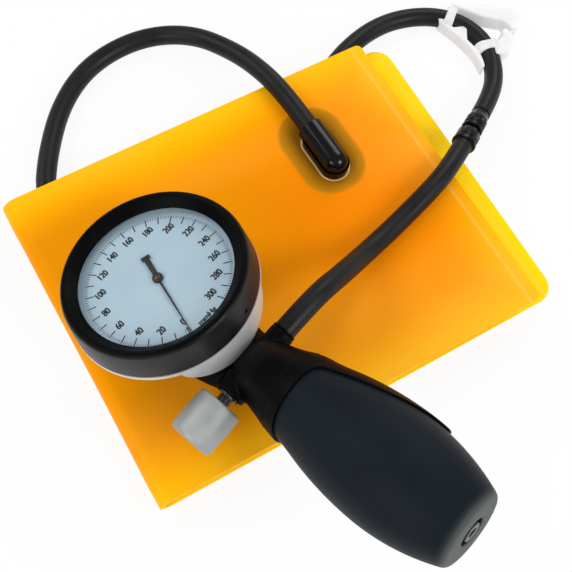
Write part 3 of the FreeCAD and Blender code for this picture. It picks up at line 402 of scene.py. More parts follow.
def cuff_film():
    """Orange film over lemon film, by how far along the sheet: a painted shade deepens the middle of the flap
    and painted light brightens it towards its edges, with painted highlight streaks of salmon and a painted
    glow. The port's flange shows through as a brown oval, painted darker towards the port as shade, and the
    slot has a pale lip."""
    material, tree, shader = new_material("cuff_film", Specular_IOR_Level=0.04, Emission_Strength=FILM_PAINTED_GLOW)
    clouds, fine = speckle(tree, 16, 3), speckle(tree, 900, 2)
    # painted light: the orange is brighter towards the sheet's edges
    orange = shades(tree, tagged(tree, "rim"), (0.0, 0.88, 0.3, 0.0), (0.45, 0.97, 0.37, 0.0),
                    (1.0, 1.0, 0.47, 0.002))
    # painted shade: the flap turns deeper orange in its middle, between gauge and port
    deep = mixed(tree, middle_share(tree), orange, SHADE_ORANGE)
    # painted highlight: soft salmon streaks where the film's gloss would catch the light
    highlight_streaks = spread(tree, speckle(tree, 22, 1, (0.4, 1, 1), (0, 0, 0.9)), 0.5, 0.75, 0.0, 0.3)
    upper = mixed(tree, highlight_streaks, deep, SALMON_HIGHLIGHT)
    lemon = shades(tree, clouds, (0.3, 1.0, 0.66, 0.001), (0.7, 1.0, 0.74, 0.002))

    along = add_node(tree, "SeparateXYZ", add_node(tree, "UVMap", uv_map="UVMap").outputs["UV"])
    fold_at = (UPPER_STEPS + TONE_TURN * FOLD_STEPS) / SHEET_STEPS
    below = spread(tree, along.outputs["X"], fold_at - TONE_BLEND, fold_at + TONE_BLEND)
    above = spread(tree, below, 1.0, 0.0)
    margin, weld = product(tree, tagged(tree, "margin"), 0.12), product(tree, tagged(tree, "weld"), 0.3)
    paler = mixed(tree, margin, mixed(tree, below, upper, lemon), MARGIN_TONE)
    welded = mixed(tree, weld, paler, WELD_TONE)

    flange = oval_distance(tree, *FLANGE_OVAL)
    shown = product(tree, product(tree, spread(tree, flange, 0.0006, -0.0008), above), 0.9)
    # The flange shows through the film as an olive oval; its darkening towards the port is painted shade.
    olive_and_shade = shades(tree, spread(tree, flange, 0.0, -0.007), (0.0, 0.52, 0.21, 0.005),
                   (0.5, 0.34, 0.15, 0.004), (1.0, 0.16, 0.07, 0.002))
    lip = product(tree, spread(tree, oval_distance(tree, *SLOT_OVAL), 0.0006, 0.0002), above)
    colour = mixed(tree, product(tree, lip, 0.7), mixed(tree, shown, welded, olive_and_shade), LIP_TONE)
    # The film's emission is a painted glow that lifts its shaded parts.
    set_up(tree, shader, Base_Color=colour, Emission_Color=colour,
           Roughness=between(tree, clouds, 0.32, 0.46))
    relief(tree, shader, fine, 0.00002)
    relief(tree, shader, clouds, 0.0006)
    return material


def free_edge(place):
    """Where the free edge of the place's own flap lies, in mm along X."""
    return UPPER_EDGE_X - place.y * UPPER_SLOPE if place.z > FOLD_Z else LOWER_EDGE_X


def from_edge(place):
    """How far a place on the sheet, in mm, lies inside the sheet's nearest edge."""
    return min(free_edge(place) - place.x, FLAP_HALF - abs(place.y))


def cuff_sheet():
    """The whole cuff: a grid laid out over both flaps and round the fold, then given its thickness."""
    sheet = added("grid", x_subdivisions=SHEET_STEPS, y_subdivisions=ACROSS_STEPS, size=1)
    sheet.name = "cuff_sheet"
    for vertex in sheet.data.vertices:
        i, j = round((vertex.co.x + 0.5) * SHEET_STEPS), round((vertex.co.y + 0.5) * ACROSS_STEPS)
        vertex.co = sheet_place(i, j)
    tag(sheet, "margin", lambda place: 1 - ease((from_edge(place) - WELD_INSET) / MARGIN_FADE))
    # The rim share drives painted light that brightens the film towards its edges.
    tag(sheet, "rim", lambda place: 1 - ease(from_edge(place) / RIM_LIGHT_REACH))
    tag(sheet, "weld", lambda place: math.exp(-((free_edge(place) - place.x - WELD_INSET) / WELD_FADE) ** 2))
    to_metres(sheet)
    use_modifier(sheet, "SOLIDIFY", thickness=FILM * MM, offset=0)
    cut(sheet, slot_bar(0.0, *SLOT_CUT_Z))
    rounded(sheet, 40)
    coat(sheet, cuff_film())
    return sheet


cuff = cuff_sheet()
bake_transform(cuff)
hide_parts("cuff_front_panel", "cuff_back_panel", "cuff_fold_upper", "cuff_fold_lower")


# ---- port ----------------------------------------------------------------------------------------
# A glossy black elbow of moulded plastic on a base that fills the slot, welded to a thin flange below.
def gloss_plastic(name, roughness):
    """Glossy black plastic: a trace of dust, and flow marks in its gloss."""
    material, tree, shader = new_material(name, Specular_IOR_Level=0.25)
    flow = speckle(tree, 60, 3)
    dust = shades(tree, speckle(tree, 1500, 2), (0.45, 0.002, 0.002, 0.0025), (0.8, 0.006, 0.006, 0.00675))
    set_up(tree, shader, Base_Color=dust, Roughness=between(tree, flow, roughness, roughness + 0.08))
    relief(tree, shader, flow, 0.0002, 0.5)
    return material


def finish_nodes(material, *names):
    """Gives carried-over nodes their finish."""
    for name in names:
        coat(frame["nodes"][name], material)


def round_edges(piece, width, segments=3, angle=30):
    """Small rounds on every edge sharper than the angle."""
    use_modifier(piece, "BEVEL", width=width * MM, segments=segments, limit_method="ANGLE",
                 angle_limit=math.radians(angle), use_clamp_overlap=True)
    rounded(piece)


def dress(piece, material, body="instrument"):
    """Gives a new piece its finish, and the body that it goes with."""
    coat(piece, material)
    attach(piece, body)


PORT_GLOSS = gloss_plastic("port_gloss", 0.1)
BASE_GAP, BASE_Z = 0.2, (11.0, 12.7)
finish_nodes(PORT_GLOSS, "cuff_port", "port_flange")
port_base = slot_bar(BASE_GAP, *BASE_Z)
port_base.name = "port_base"
round_edges(port_base, 0.3)
dress(port_base, PORT_GLOSS)


# ---- gauge case and bezel ------------------------------------------------------------------------
# A turned aluminium cup, satin silver, under a screw-on black ring that three grub screws hold. The
# ring's inner slope leads down to a flat clear lens on a rubber gasket.
gauge_z = Vector(joints["pointer_turn"]["axis"])
gauge_y = -Vector(joints["rocker_turn"]["axis"])
gauge_x = gauge_y.cross(gauge_z)
POINTER_BELOW_LENS = 2.0
gauge_centre = Vector(joints["pointer_turn"]["pos_m"]) + gauge_z * POINTER_BELOW_LENS * MM
GAUGE = frame_of(gauge_centre, gauge_x, gauge_y, gauge_z)
AXIS_CLOSE = 0.002


def turned(name, place, profile, steps=128):
    """A turned piece: a circle drawn out ring by ring along the profile [(radius, height), ...] in mm.
    A profile that ends where it starts makes a ring; one that ends on the axis is closed there."""
    radius, height = profile[0]
    radius = max(radius, AXIS_CLOSE)
    piece = added("circle", vertices=steps, radius=radius, location=(0, 0, height))
    piece.name = name
    bpy.ops.object.transform_apply(location=True, rotation=False, scale=False)
    bpy.ops.object.mode_set(mode="EDIT")
    for next_radius, next_height in profile[1:]:
        next_radius = max(next_radius, AXIS_CLOSE)
        bpy.ops.mesh.extrude_region_move(TRANSFORM_OT_translate={"value": (0, 0, next_height - height)})
        scale = next_radius / radius
        bpy.ops.transform.resize(value=(scale, scale, 1), center_override=(0, 0, next_height))
        radius, height = next_radius, next_height
    bpy.ops.mesh.select_all(action="SELECT")
    bpy.ops.mesh.remove_doubles(threshold=2.5 * AXIS_CLOSE)
    bpy.ops.mesh.normals_make_consistent(inside=False)
    bpy.ops.object.mode_set(mode="OBJECT")
    to_metres(piece)
    piece.data.transform(place)
    return piece


def gauge_turn():
    """Rotation that brings Object coordinates into the gauge's own frame, for a Mapping node."""
    return GAUGE.to_3x3().inverted().to_euler()


def mottled(name, tone, dark, light, roughness, *grains, **values):
    """A finish whose colour drifts from dark to light, each (place, red, green, blue), with the noise tone.
    Its roughness is a number, or a range that follows the tone. Each grain is (noise, depth)."""
    material, tree, shader = new_material(name, **values)
    drift = speckle(tree, *tone)
    if isinstance(roughness, tuple):
        roughness = between(tree, drift, *roughness)
    set_up(tree, shader, Base_Color=shades(tree, drift, dark, light), Roughness=roughness)
    for noise, depth in grains:
        relief(tree, shader, speckle(tree, *noise), depth)
    return material


def bezel_black():
    """Anodised black with fine turning marks and handling wear. Its front is painted darker and given less
    gloss than the skirt, a painted shade where it faces the dim surround.
    """
    material, tree, shader = new_material("bezel_black")
    wear, front = speckle(tree, 130, 5), tagged(tree, "front")
    skirt = shades(tree, wear, (0.35, 0.006, 0.006, 0.007), (0.75, 0.012, 0.011, 0.011))
    # painted shade: the front's colour is darker than the skirt's
    set_up(tree, shader, Base_Color=mixed(tree, front, skirt, (0.0015, 0.0015, 0.0017)),
           Roughness=between(tree, wear, 0.34, 0.46), Specular_IOR_Level=spread(tree, front, 0, 1, 0.4, 0.05))
    relief(tree, shader, speckle(tree, 3.0, 2, (40, 40, 2500), gauge_turn()), 0.00003)
    return material


def case_metal():
    """Satin aluminium, turned: fine rings round the axis, a few faint smudges."""
    rings = (3.0, 3, (30, 30, 4000), gauge_turn())
    return mottled("case_metal", (70, 4), (0.3, 0.66, 0.67, 0.68), (0.7, 0.8, 0.81, 0.82), (0.3, 0.4),
                   (rings, 0.00004), Metallic=0.35)


BEZEL_PROFILE = [
    (29.0, 0.82), (29.0, 1.1), (31.9, 3.75), (32.5, 4.2), (33.2, 4.42), (34.0, 4.2), (34.6, 3.6), (35.0, 2.6),
    (36.0, -6.2), (36.2, -7.9), (35.8, -8.5), (33.75, -8.5), (33.75, 0.82), (29.0, 0.82),
]
SCREW_ANGLES, SCREW_HEIGHT, SCREW_HOLE_R, SCREW_DEEP = (14, 134, 254), -4.6, 0.95, 6
SKIRT_R, FRONT_R, FRONT_BLEND = 36, 34.3, 0.7

bezel = turned("bezel", GAUGE, BEZEL_PROFILE, 192)
for angle in SCREW_ANGLES:
    drill = added("cylinder", vertices=24, radius=SCREW_HOLE_R, depth=SCREW_DEEP)
    drill.data.transform(Matrix.Rotation(math.pi / 2, 4, "Y"))
    drill.data.transform(Matrix.Translation((SKIRT_R, 0, SCREW_HEIGHT)))
    drill.data.transform(Matrix.Rotation(math.radians(angle), 4, "Z"))
    to_metres(drill)
    drill.data.transform(GAUGE)
    cut(bezel, drill)
rounded(bezel, 28)
TO_GAUGE = GAUGE.inverted()
# The front share marks where the bezel carries painted shade.
tag(bezel, "front", lambda place: 1 - ease(((TO_GAUGE @ place).xy.length / MM - FRONT_R) / FRONT_BLEND))
dress(bezel, bezel_black())
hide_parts("bezel_ring")
finish_nodes(case_metal(), "gauge_case")


def clear_acrylic():
    """Clear lens: mostly see-through, with a sharp gloss and the faintest haze."""
    material, tree, shader = new_material("clear_acrylic", Base_Color=(0.3, 0.34, 0.36, 1), Alpha=0.02,
                                          Specular_IOR_Level=0.25, IOR=1.49)
    set_up(tree, shader, Roughness=between(tree, speckle(tree, 200, 4), 0.02, 0.06))
    return material


def metal(name, dark, light, roughness, metallic=1.0):
    """A machined metal: soft mottling and fine scratches."""
    scratches = (8, 3, (30, 600, 60))
    return mottled(name, (260, 4), (0.3, *dark), (0.7, *light), (roughness, roughness + 0.12),
                   (scratches, 0.00002), Metallic=metallic)


STEEL = metal("steel", (0.42, 0.42, 0.43), (0.6, 0.6, 0.61), 0.28)
# Matt black rubber for the lens gasket and the outlet valve's disc.
SEAL_RUBBER = mottled("seal_rubber", (1200, 3), (0.3, 0.012, 0.012, 0.012), (0.75, 0.024, 0.024, 0.024),
                      0.7, ((1200, 3), 0.00005))
finish_nodes(clear_acrylic(), "lens")
finish_nodes(metal("screw_black", (0.02, 0.02, 0.02), (0.05, 0.05, 0.05), 0.4), "bezel_screws")
finish_nodes(SEAL_RUBBER, "lens_gasket")


# ---- dial ----------------------------------------------------------------------------------------
# A thin plate, enamelled pale blue-white and printed in black: a mark every 2 mmHg, longer ones every
# 10, numbers every 20, and a box at zero where the pointer rests.
DIAL_FACE, INK_LIFT, INK = -2.3, 0.04, 0.02
ZERO_PAST_SIX, FULL_SCALE = math.radians(18.4), 300
SWEEP = 2 * math.pi - 2 * ZERO_PAST_SIX
DIAL_TURN = math.radians(2.6)  # the plate sits turned a little clockwise
MARK_OUTER, LONG_MARK, SHORT_MARK = 27.6, (24.3, 0.42), (26.5, 0.17)  # inner end and width
NUMBER_RADIUS, NUMBER_HEIGHT, NUMBER_NARROW = 21.8, 4.0, 0.72
UNIT_RADIUS, UNIT_HEIGHT, UNIT_NARROW = 25.8, 3.0, 1.0
STROKE_GROWTH, STROKE_SPREAD = 0.04, 0.12  # strokes are wider than the typeface's, most of all to each side
ZERO_BOX, ZERO_BOX_RADIUS, ZERO_BOX_LINE = (2.6, 2.2), 26.2, 0.16

# Pale blue-white enamel with a fine peel.
DIAL_ENAMEL = mottled("dial_enamel", (40, 3), (0.3, 0.39, 0.53, 0.63), (0.7, 0.43, 0.575, 0.67), 0.45,
                      ((700, 2), 0.00003))
# Black ink that covers a little unevenly.
PRINT_INK = mottled("print_ink", (2500, 3), (0.35, 0.006, 0.007, 0.01), (0.8, 0.02, 0.024, 0.03), 0.5)
finish_nodes(DIAL_ENAMEL, "dial_plate")


def dial_direction(pressure):
    """Angle of a pressure's mark in the gauge's frame, where +X points at six o'clock."""
    return -(DIAL_TURN + ZERO_PAST_SIX + SWEEP * pressure / FULL_SCALE)


def printed(piece, name):
    """Lays a flat piece, drawn in mm in the gauge's frame, on the dial's face, in ink."""
    piece.name = name
    to_metres(piece)
    piece.data.transform(GAUGE @ Matrix.Translation((0, 0, (DIAL_FACE + INK_LIFT) * MM)))
    dress(piece, PRINT_INK)


def mark(pressure):
    """One printed line at the rim, longer at tens."""
    inner, width = SHORT_MARK if pressure % 10 else LONG_MARK
    line = added("cube", size=1)
    line.data.transform(Matrix.Diagonal((MARK_OUTER - inner, width, INK, 1)))
    line.data.transform(Matrix.Translation(((MARK_OUTER + inner) / 2, 0, 0)))
    line.data.transform(Matrix.Rotation(dial_direction(pressure), 4, "Z"))
    return line


def join(pieces):
    """The pieces as one."""
    pick(pieces[0])
    for piece in pieces:
        piece.select_set(True)
    bpy.ops.object.join()
    return pieces[0]


def lettering(words, height, narrow, radius, angle):
    """Printed words, upright on the dial, centred at a radius in mm and an angle past +X."""
    bpy.ops.object.select_all(action="DESELECT")
    bpy.ops.object.text_add()
    text = bpy.context.object
    text.data.body = words
    text.data.size = height
    text.data.align_x, text.data.align_y = "CENTER", "CENTER"
    text.data.offset = STROKE_GROWTH
    text.data.extrude = INK / 2
    bpy.ops.object.convert(target="MESH")
    text.data.transform(Matrix.Diagonal((narrow, 1, 1, 1)) @ Matrix.Translation((-STROKE_SPREAD, 0, 0)))
    use_modifier(text, "ARRAY", count=3, use_relative_offset=False, use_constant_offset=True,
                 constant_offset_displace=(STROKE_SPREAD, 0, 0))
    text.data.transform(Matrix.Rotation(math.pi / 2 - DIAL_TURN, 4, "Z"))
    text.data.transform(Matrix.Translation((radius * math.cos(angle), radius * math.sin(angle), 0)))
    return text


def zero_box():
    """Outline of a small box that straddles the zero mark: a square drawn in from its rim."""
    box = added("plane", size=1)
    box.data.transform(Matrix.Diagonal((*ZERO_BOX, 1, 1)))
    bpy.ops.object.mode_set(mode="EDIT")
    bpy.ops.mesh.select_all(action="SELECT")
    bpy.ops.mesh.inset(thickness=ZERO_BOX_LINE)
    bpy.ops.mesh.delete(type="FACE")
    bpy.ops.object.mode_set(mode="OBJECT")
    use_modifier(box, "SOLIDIFY", thickness=INK, offset=0)
    box.data.transform(Matrix.Translation((ZERO_BOX_RADIUS, 0, 0)))
    box.data.transform(Matrix.Rotation(dial_direction(0), 4, "Z"))
    return box


printed(join([mark(pressure) for pressure in range(0, FULL_SCALE + 1, 2)]), "dial_scale")
numbers = [
    lettering(str(pressure), NUMBER_HEIGHT, NUMBER_NARROW, NUMBER_RADIUS, dial_direction(pressure))
    for pressure in range(0, FULL_SCALE + 1, 20)
]
printed(join(numbers), "dial_numbers")
printed(lettering("mmHg", UNIT_HEIGHT, UNIT_NARROW, UNIT_RADIUS, -DIAL_TURN), "dial_unit")
printed(zero_box(), "dial_zero_box")


# ---- pointer and movement ------------------------------------------------------------------------
# A blackened steel hand with a T-shaped tail, pressed on the movement's arbor under a copper cap. The
# brass movement, its steel arbors and the bronze capsule are behind the dial.
POINTER_BLACK = metal("pointer_black", (0.002, 0.002, 0.003), (0.005, 0.005, 0.006), 0.5, 0.0)
POINTER_REST = math.radians(-19.8)
POINTER_LEVEL, POINTER_THICK, HUB_R, HUB_THICK = -1.62, 0.32, 2.0, 0.8
POINTER_BARS = [  # start, end and half width at each: needle, tail and the tail's crossbar
    (1.2, 27.6, 0.46, 0.16), (-10.2, -1.2, 1.05, 0.95), (-11.3, -9.6, 1.8, 1.7),
]
CAP_PROFILE = [(0, -1.15), (1.1, -1.15), (1.1, -0.98), (0.8, -0.88), (0, -0.85)]


def pointer_bar(start, end, half_start, half_end):
    """A flat bar along the pointer from start to end, tapered in width: a cube with its ends drawn in."""
    bar = added("cube", size=1)
    for vertex in bar.data.vertices:
        far = vertex.co.x > 0
        half = half_end if far else half_start
        vertex.co = (end if far else start, 2 * half * vertex.co.y, POINTER_THICK * vertex.co.z)
    bar.data.transform(Matrix.Translation((0, 0, POINTER_LEVEL)))
    return bar


bars = [pointer_bar(*bar) for bar in POINTER_BARS]
hub = added("cylinder", vertices=48, radius=HUB_R, depth=HUB_THICK)
hub.data.transform(Matrix.Translation((0, 0, POINTER_LEVEL)))
pointer = join([*bars, hub])
pointer.name = "pointer_hand"
to_metres(pointer)
pointer.data.transform(GAUGE @ Matrix.Rotation(POINTER_REST, 4, "Z"))
round_edges(pointer, 0.06, 2)
dress(pointer, POINTER_BLACK, "pointer_arbor")
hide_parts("pointer")

cap = turned("pointer_cap", GAUGE, CAP_PROFILE, 48)
round_edges(cap, 0.05)
dress(cap, metal("copper", (0.12, 0.05, 0.03), (0.22, 0.1, 0.06), 0.35), "pointer_arbor")

BRASS = metal("movement_brass", (0.6, 0.44, 0.18), (0.78, 0.6, 0.3), 0.25)
BRONZE = metal("capsule_bronze", (0.5, 0.3, 0.14), (0.68, 0.45, 0.24), 0.3)
finish_nodes(BRASS, "pressure_nipple", "movement_bottom_plate", "movement_top_plate", "movement_pillars",
             "sector_gear", "outlet_valve_body")
finish_nodes(BRONZE, "diaphragm_capsule", "hairspring")
finish_nodes(STEEL, "capsule_pin", "rocking_shaft", "pinion_arbor", "inlet_valve_ball")


# ---- bulb ----------------------------------------------------------------------------------------
# A dipped rubber bulb, dark blue-grey and matt, plugged into the collar. Its flat tail, lightened by a
# painted sheen, holds an inlet valve whose face is painted grey the same way, with a groove left open round
# the valve's disc.
handle_u = -Vector(joints["outlet_lift"]["axis"])
handle_v = -Vector(joints["valve_lift"]["axis"])
handle_z = handle_u.cross(handle_v)
VALVE_U, VALVE_V, VALVE_Z = 46.4, -27.0, -1.0  # where the valve's turning joint is, in the handle's frame
handle_origin = Vector(joints["valve_turn"]["pos_m"]) - MM * (
    VALVE_U * handle_u + VALVE_V * handle_v + VALVE_Z * handle_z)
HANDLE = frame_of(handle_origin, handle_u, handle_v, handle_z)
TO_HANDLE = HANDLE.inverted()
ALONG = HANDLE @ frame_of(Vector(), Vector((0, 0, -1)), Vector((0, 1, 0)), Vector((1, 0, 0)))
BULB_START, BULB_END, BULB_RIM_U = 62.6, 140.3, 138.8
SHOULDER_U, SHOULDER_R, FLANK_U = 67.5, 15.35, 80.0
FLANK_SLOPE, FLANK_HOLLOW = 0.0786, 0.00683  # of the flank's outline, a parabola
BELLY_U, BELLY_R, BELLY_BACK, BELLY_FRONT = 108.0, 20.6, 124.0, 76.0
SIDE_STEP = 3.1
TAIL_START, TAIL_BLEND, SEAT_R = 137.6, 2.6, 5.25


def bulb_side(u):
    """Radius of the bulb's side at u: a hollow flank, then the belly's two arcs."""
    if u < FLANK_U:
        return SHOULDER_R + FLANK_SLOPE * (u - SHOULDER_U) + FLANK_HOLLOW * (u - SHOULDER_U) ** 2
    arc = BELLY_BACK if u < BELLY_U else BELLY_FRONT
    return BELLY_R - arc + math.sqrt(arc**2 - (u - BELLY_U) ** 2)


def bulb_profile():
    """Neck in the collar, side, rounded rim, the flat tail with the valve's seat, and the hollow inside."""
    count = round((BULB_RIM_U - SHOULDER_U) / SIDE_STEP)
    side = [SHOULDER_U + (BULB_RIM_U - SHOULDER_U) * k / count for k in range(count + 1)]
    return [
        (4.5, BULB_START), (13.6, BULB_START), (14.0, BULB_START + 0.4), (14.0, SHOULDER_U - 1.2),
        *((bulb_side(u), u) for u in side), (13.6, 139.5), (12.9, 140.05), (11.9, BULB_END), (5.4, BULB_END),
        (5.1, BULB_END - 0.2), (5.05, BULB_END - 2.0), (4.7, BULB_END - 2.1), (4.7, 132.4), (11.5, 132.2),
        (15.8, 126.0), (17.9, 114.0), (18.1, 106.0), (16.8, 90.0), (14.7, 79.0), (13.0, 73.2), (4.5, 73.1),
        (4.5, BULB_START),
    ]


def bulb_rubber():
    """Matt dark blue-grey rubber: a slight bloom in clouds, fine pitting, and a painted sheen that turns the
    tail face grey where it faces the light.
    """
    material, tree, shader = new_material("bulb_rubber", Specular_IOR_Level=0.1, Sheen_Weight=0.04,
                                          Sheen_Roughness=0.35)
    bloom = speckle(tree, 38, 5)
    side = shades(tree, bloom, (0.3, 0.005, 0.0085, 0.0135), (0.75, 0.0085, 0.0135, 0.019))
    # painted sheen: the tail face is painted light grey
    set_up(tree, shader, Base_Color=mixed(tree, tagged(tree, "tail"), side, (0.075, 0.085, 0.082)),
           Roughness=between(tree, bloom, 0.5, 0.62))
    relief(tree, shader, speckle(tree, 1500, 3), 0.00004)
    return material


def tail_share(place):
    """1 on the tail face outside the valve's seat, where a painted sheen lightens it, 0 on the bulb's side
    and inside.
    """
    here = (TO_HANDLE @ place) / MM
    return ease((here.x - TAIL_START) / TAIL_BLEND) if here.yz.length > SEAT_R else 0.0


bulb = turned("squeeze_bulb", ALONG, bulb_profile())
use_modifier(bulb, "SUBSURF", levels=1, render_levels=1)
rounded(bulb, 50)
tag(bulb, "tail", tail_share)
dress(bulb, bulb_rubber())
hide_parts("bulb")

INLET_PROFILE = [
    (1.8, 135.9), (1.8, 140.2), (2.0, 140.4), (3.3, 140.4), (3.55, 140.15), (3.6, 138.3), (4.65, 138.2),
    (4.65, 128.8), (1.8, 128.8), (1.8, 135.9),
]
FACE_START, FACE_BLEND = 140.0, 0.3


def valve_plastic():
    """Moulded plastic with a faint sheen: its face painted grey as a painted sheen like the tail's, and its
    bore painted black as painted shade.
    """
    material, tree, shader = new_material("valve_plastic")
    flow = speckle(tree, 400, 3)
    face = shades(tree, flow, (0.3, 0.06, 0.068, 0.066), (0.7, 0.08, 0.088, 0.086))
    bore = shades(tree, flow, (0.3, 0.003, 0.003, 0.003), (0.7, 0.005, 0.005, 0.005))
    # painted sheen on the face, painted shade in the bore
    set_up(tree, shader, Base_Color=mixed(tree, tagged(tree, "face"), bore, face),
           Roughness=between(tree, flow, 0.35, 0.45))
    relief(tree, shader, flow, 0.00004)
    return material


inlet = turned("inlet_valve", ALONG, INLET_PROFILE, 64)
rounded(inlet, 40)
tag(inlet, "face", lambda place: ease(((TO_HANDLE @ place).x / MM - FACE_START) / FACE_BLEND))
dress(inlet, valve_plastic())
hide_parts("inlet_valve_body")
finish_nodes(SEAL_RUBBER, "outlet_valve_disc")


# ---- handle --------------------------------------------------------------------------------------
# One black moulding: the bowl under the gauge, the neck, the bulb's collar and a thin palm rest. Its
# surface is finely spark-textured, and its bosses run into the neck with soft fillets.
SPLIT_U, COLLAR_START, COLLAR_U = 66.2, 64.4, 71.6
COLLAR_START_R, COLLAR_R = 15.3, 16.87
REST_GAP, REST_WALL, REST_THINNING = 0.1, 1.0, 0.1
REST_ROOT, REST_SIDE, REST_TIP = 15.4, 12.9, 3.4  # half heights of the leaf at the rim, its flank, its tip
REST_FLANK_U, REST_TAPER_U, REST_TIP_U, REST_END_U = 75.5, 84.0, 115.2, 116.6
REST_THICK, REST_ROWS, REST_COLUMNS = 0.8, 40, 240
REMESH, SMOOTHING = 0.55, 9


def merge_close(threshold):
    """Merges the active mesh's vertices that lie closer together than the threshold."""
    bpy.ops.object.mode_set(mode="EDIT")
    bpy.ops.mesh.select_all(action="SELECT")
    bpy.ops.mesh.remove_doubles(threshold=threshold)
    bpy.ops.object.mode_set(mode="OBJECT")


def copy_of(node, name):
    """A copy of a node's mesh with its triangles joined up."""
    piece = bpy.data.objects.new(name, frame["nodes"][node].data.copy())
    bpy.context.scene.collection.objects.link(piece)
    pick(piece)
    merge_close(0.005 * MM)
    return piece


def cut_across(piece, u):
    """Cuts the piece square to the handle's axis at u and keeps the gauge's side, capped."""
    pick(piece)
    bpy.ops.object.mode_set(mode="EDIT")
    bpy.ops.mesh.select_all(action="SELECT")
    bpy.ops.mesh.bisect(plane_co=HANDLE @ Vector((u * MM, 0, 0)), plane_no=handle_u, use_fill=True,
                        clear_inner=False, clear_outer=True)
    bpy.ops.object.mode_set(mode="OBJECT")


def moulded(piece, voxel, smoothing):
    """Rebuilds the surface so that its corners and joints run into each other with soft rounds."""
    use_modifier(piece, "REMESH", mode="VOXEL", voxel_size=voxel * MM)
    use_modifier(piece, "SMOOTH", factor=0.5, iterations=smoothing)
    rounded(piece, 60)


# Spark-textured black plastic, a little polished by hands.
MOULDED_BLACK = mottled("moulded_black", (55, 4), (0.3, 0.001, 0.001, 0.0013),
                        (0.75, 0.002, 0.002, 0.0024), (0.38, 0.5), ((1900, 3), 0.00006),
                        Specular_IOR_Level=0.06)
grip = copy_of("handle_body", "grip")
cut_across(grip, SPLIT_U)
moulded(grip, REMESH, SMOOTHING)
dress(grip, MOULDED_BLACK)
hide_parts("handle_body")


def shell_radius(u):
    """Outside of the collar up to its rim, and of the leaf that goes on from it along the bulb."""
    if u < COLLAR_U:
        left = (COLLAR_U - u) / (COLLAR_U - COLLAR_START)
        return COLLAR_R - (COLLAR_R - COLLAR_START_R) * left**1.6
    wall = REST_WALL - REST_THINNING * max(u - FLANK_U, 0) / (BELLY_U - FLANK_U)
    return bulb_side(u) + REST_GAP + wall


def leaf_half(u):
    """Half the leaf's height, seen from the side, at u."""
    if u < REST_FLANK_U:
        return REST_SIDE + (REST_ROOT - REST_SIDE) * (1 - (u - COLLAR_U) / (REST_FLANK_U - COLLAR_U)) ** 3
    if u < REST_TAPER_U:
        return REST_SIDE
    if u < REST_TIP_U:
        return REST_SIDE - (REST_SIDE - REST_TIP) * ((u - REST_TAPER_U) / (REST_TIP_U - REST_TAPER_U)) ** 2.15
    return REST_TIP * math.sqrt(max(1 - ((u - REST_TIP_U) / (REST_END_U - REST_TIP_U)) ** 2, 0))


def shell_end(turn):
    """Where the shell ends at this turn from the leaf's middle: on the leaf's outline or the collar's rim."""
    if math.cos(turn) < 0 or COLLAR_R * abs(math.sin(turn)) > REST_ROOT:
        return COLLAR_U
    low, high = COLLAR_U, REST_END_U
    for _ in range(30):
        middle = (low + high) / 2
        if leaf_half(middle) > shell_radius(middle) * abs(math.sin(turn)):
            low = middle
        else:
            high = middle
    return low


def palm_rest_shell():
    """The collar drawn out into the palm rest: a sheet bent round the handle's axis, then thickened."""
    shell = added("grid", x_subdivisions=REST_ROWS, y_subdivisions=REST_COLUMNS, size=1)
    shell.name = "palm_rest"
    for vertex in shell.data.vertices:
        turn = -2 * math.pi * vertex.co.y
        u = COLLAR_START + (shell_end(turn) - COLLAR_START) * (vertex.co.x + 0.5)
        radius = shell_radius(u)
        vertex.co = (u, radius * math.cos(turn), radius * math.sin(turn))
    merge_close(0.001)
    to_metres(shell)
    use_modifier(shell, "SOLIDIFY", thickness=REST_THICK * MM, offset=-1)
    round_edges(shell, 0.25, 3, 50)
    shell.data.transform(HANDLE)
    return shell


palm_rest = palm_rest_shell()
dress(palm_rest, MOULDED_BLACK)
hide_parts("handle_body")
finish_nodes(MOULDED_BLACK, "hose_spout")


# ---- release valve -------------------------------------------------------------------------------
# A bead-blasted grey knob on a dark steel threaded needle, in a bush pressed into the valve boss.
VALVE = HANDLE @ Matrix.Translation((VALVE_U * MM, 0, VALVE_Z * MM)) @ Matrix.Rotation(math.pi / 2, 4, "X")
# Aluminium dulled with glass beads.
BLASTED_GREY = mottled("blasted_grey", (120, 4), (0.3, 0.33, 0.345, 0.34), (0.7, 0.41, 0.43, 0.42),
                       (0.46, 0.58), ((1600, 3), 0.00007), Metallic=0.35)
KNOB_PROFILE = [
    (0, 27.8), (2.2, 27.8), (2.2, 18.8), (7.2, 18.8), (8.0, 18.95), (8.5, 19.4), (8.7, 20.1), (8.86, 23.0),
    (8.9, 26.4), (8.86, 30.0), (8.7, 34.2), (8.45, 35.2), (7.9, 35.8), (7.2, 36.0), (0, 36.0),
]
knob = turned("knob", VALVE, KNOB_PROFILE, 96)
round_edges(knob, 0.15)
dress(knob, BLASTED_GREY, "knob")
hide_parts("valve_knob")
THREAD_STEEL = metal("thread_steel", (0.04, 0.036, 0.036), (0.2, 0.18, 0.18), 0.25)
finish_nodes(THREAD_STEEL, "valve_needle", "valve_bush")


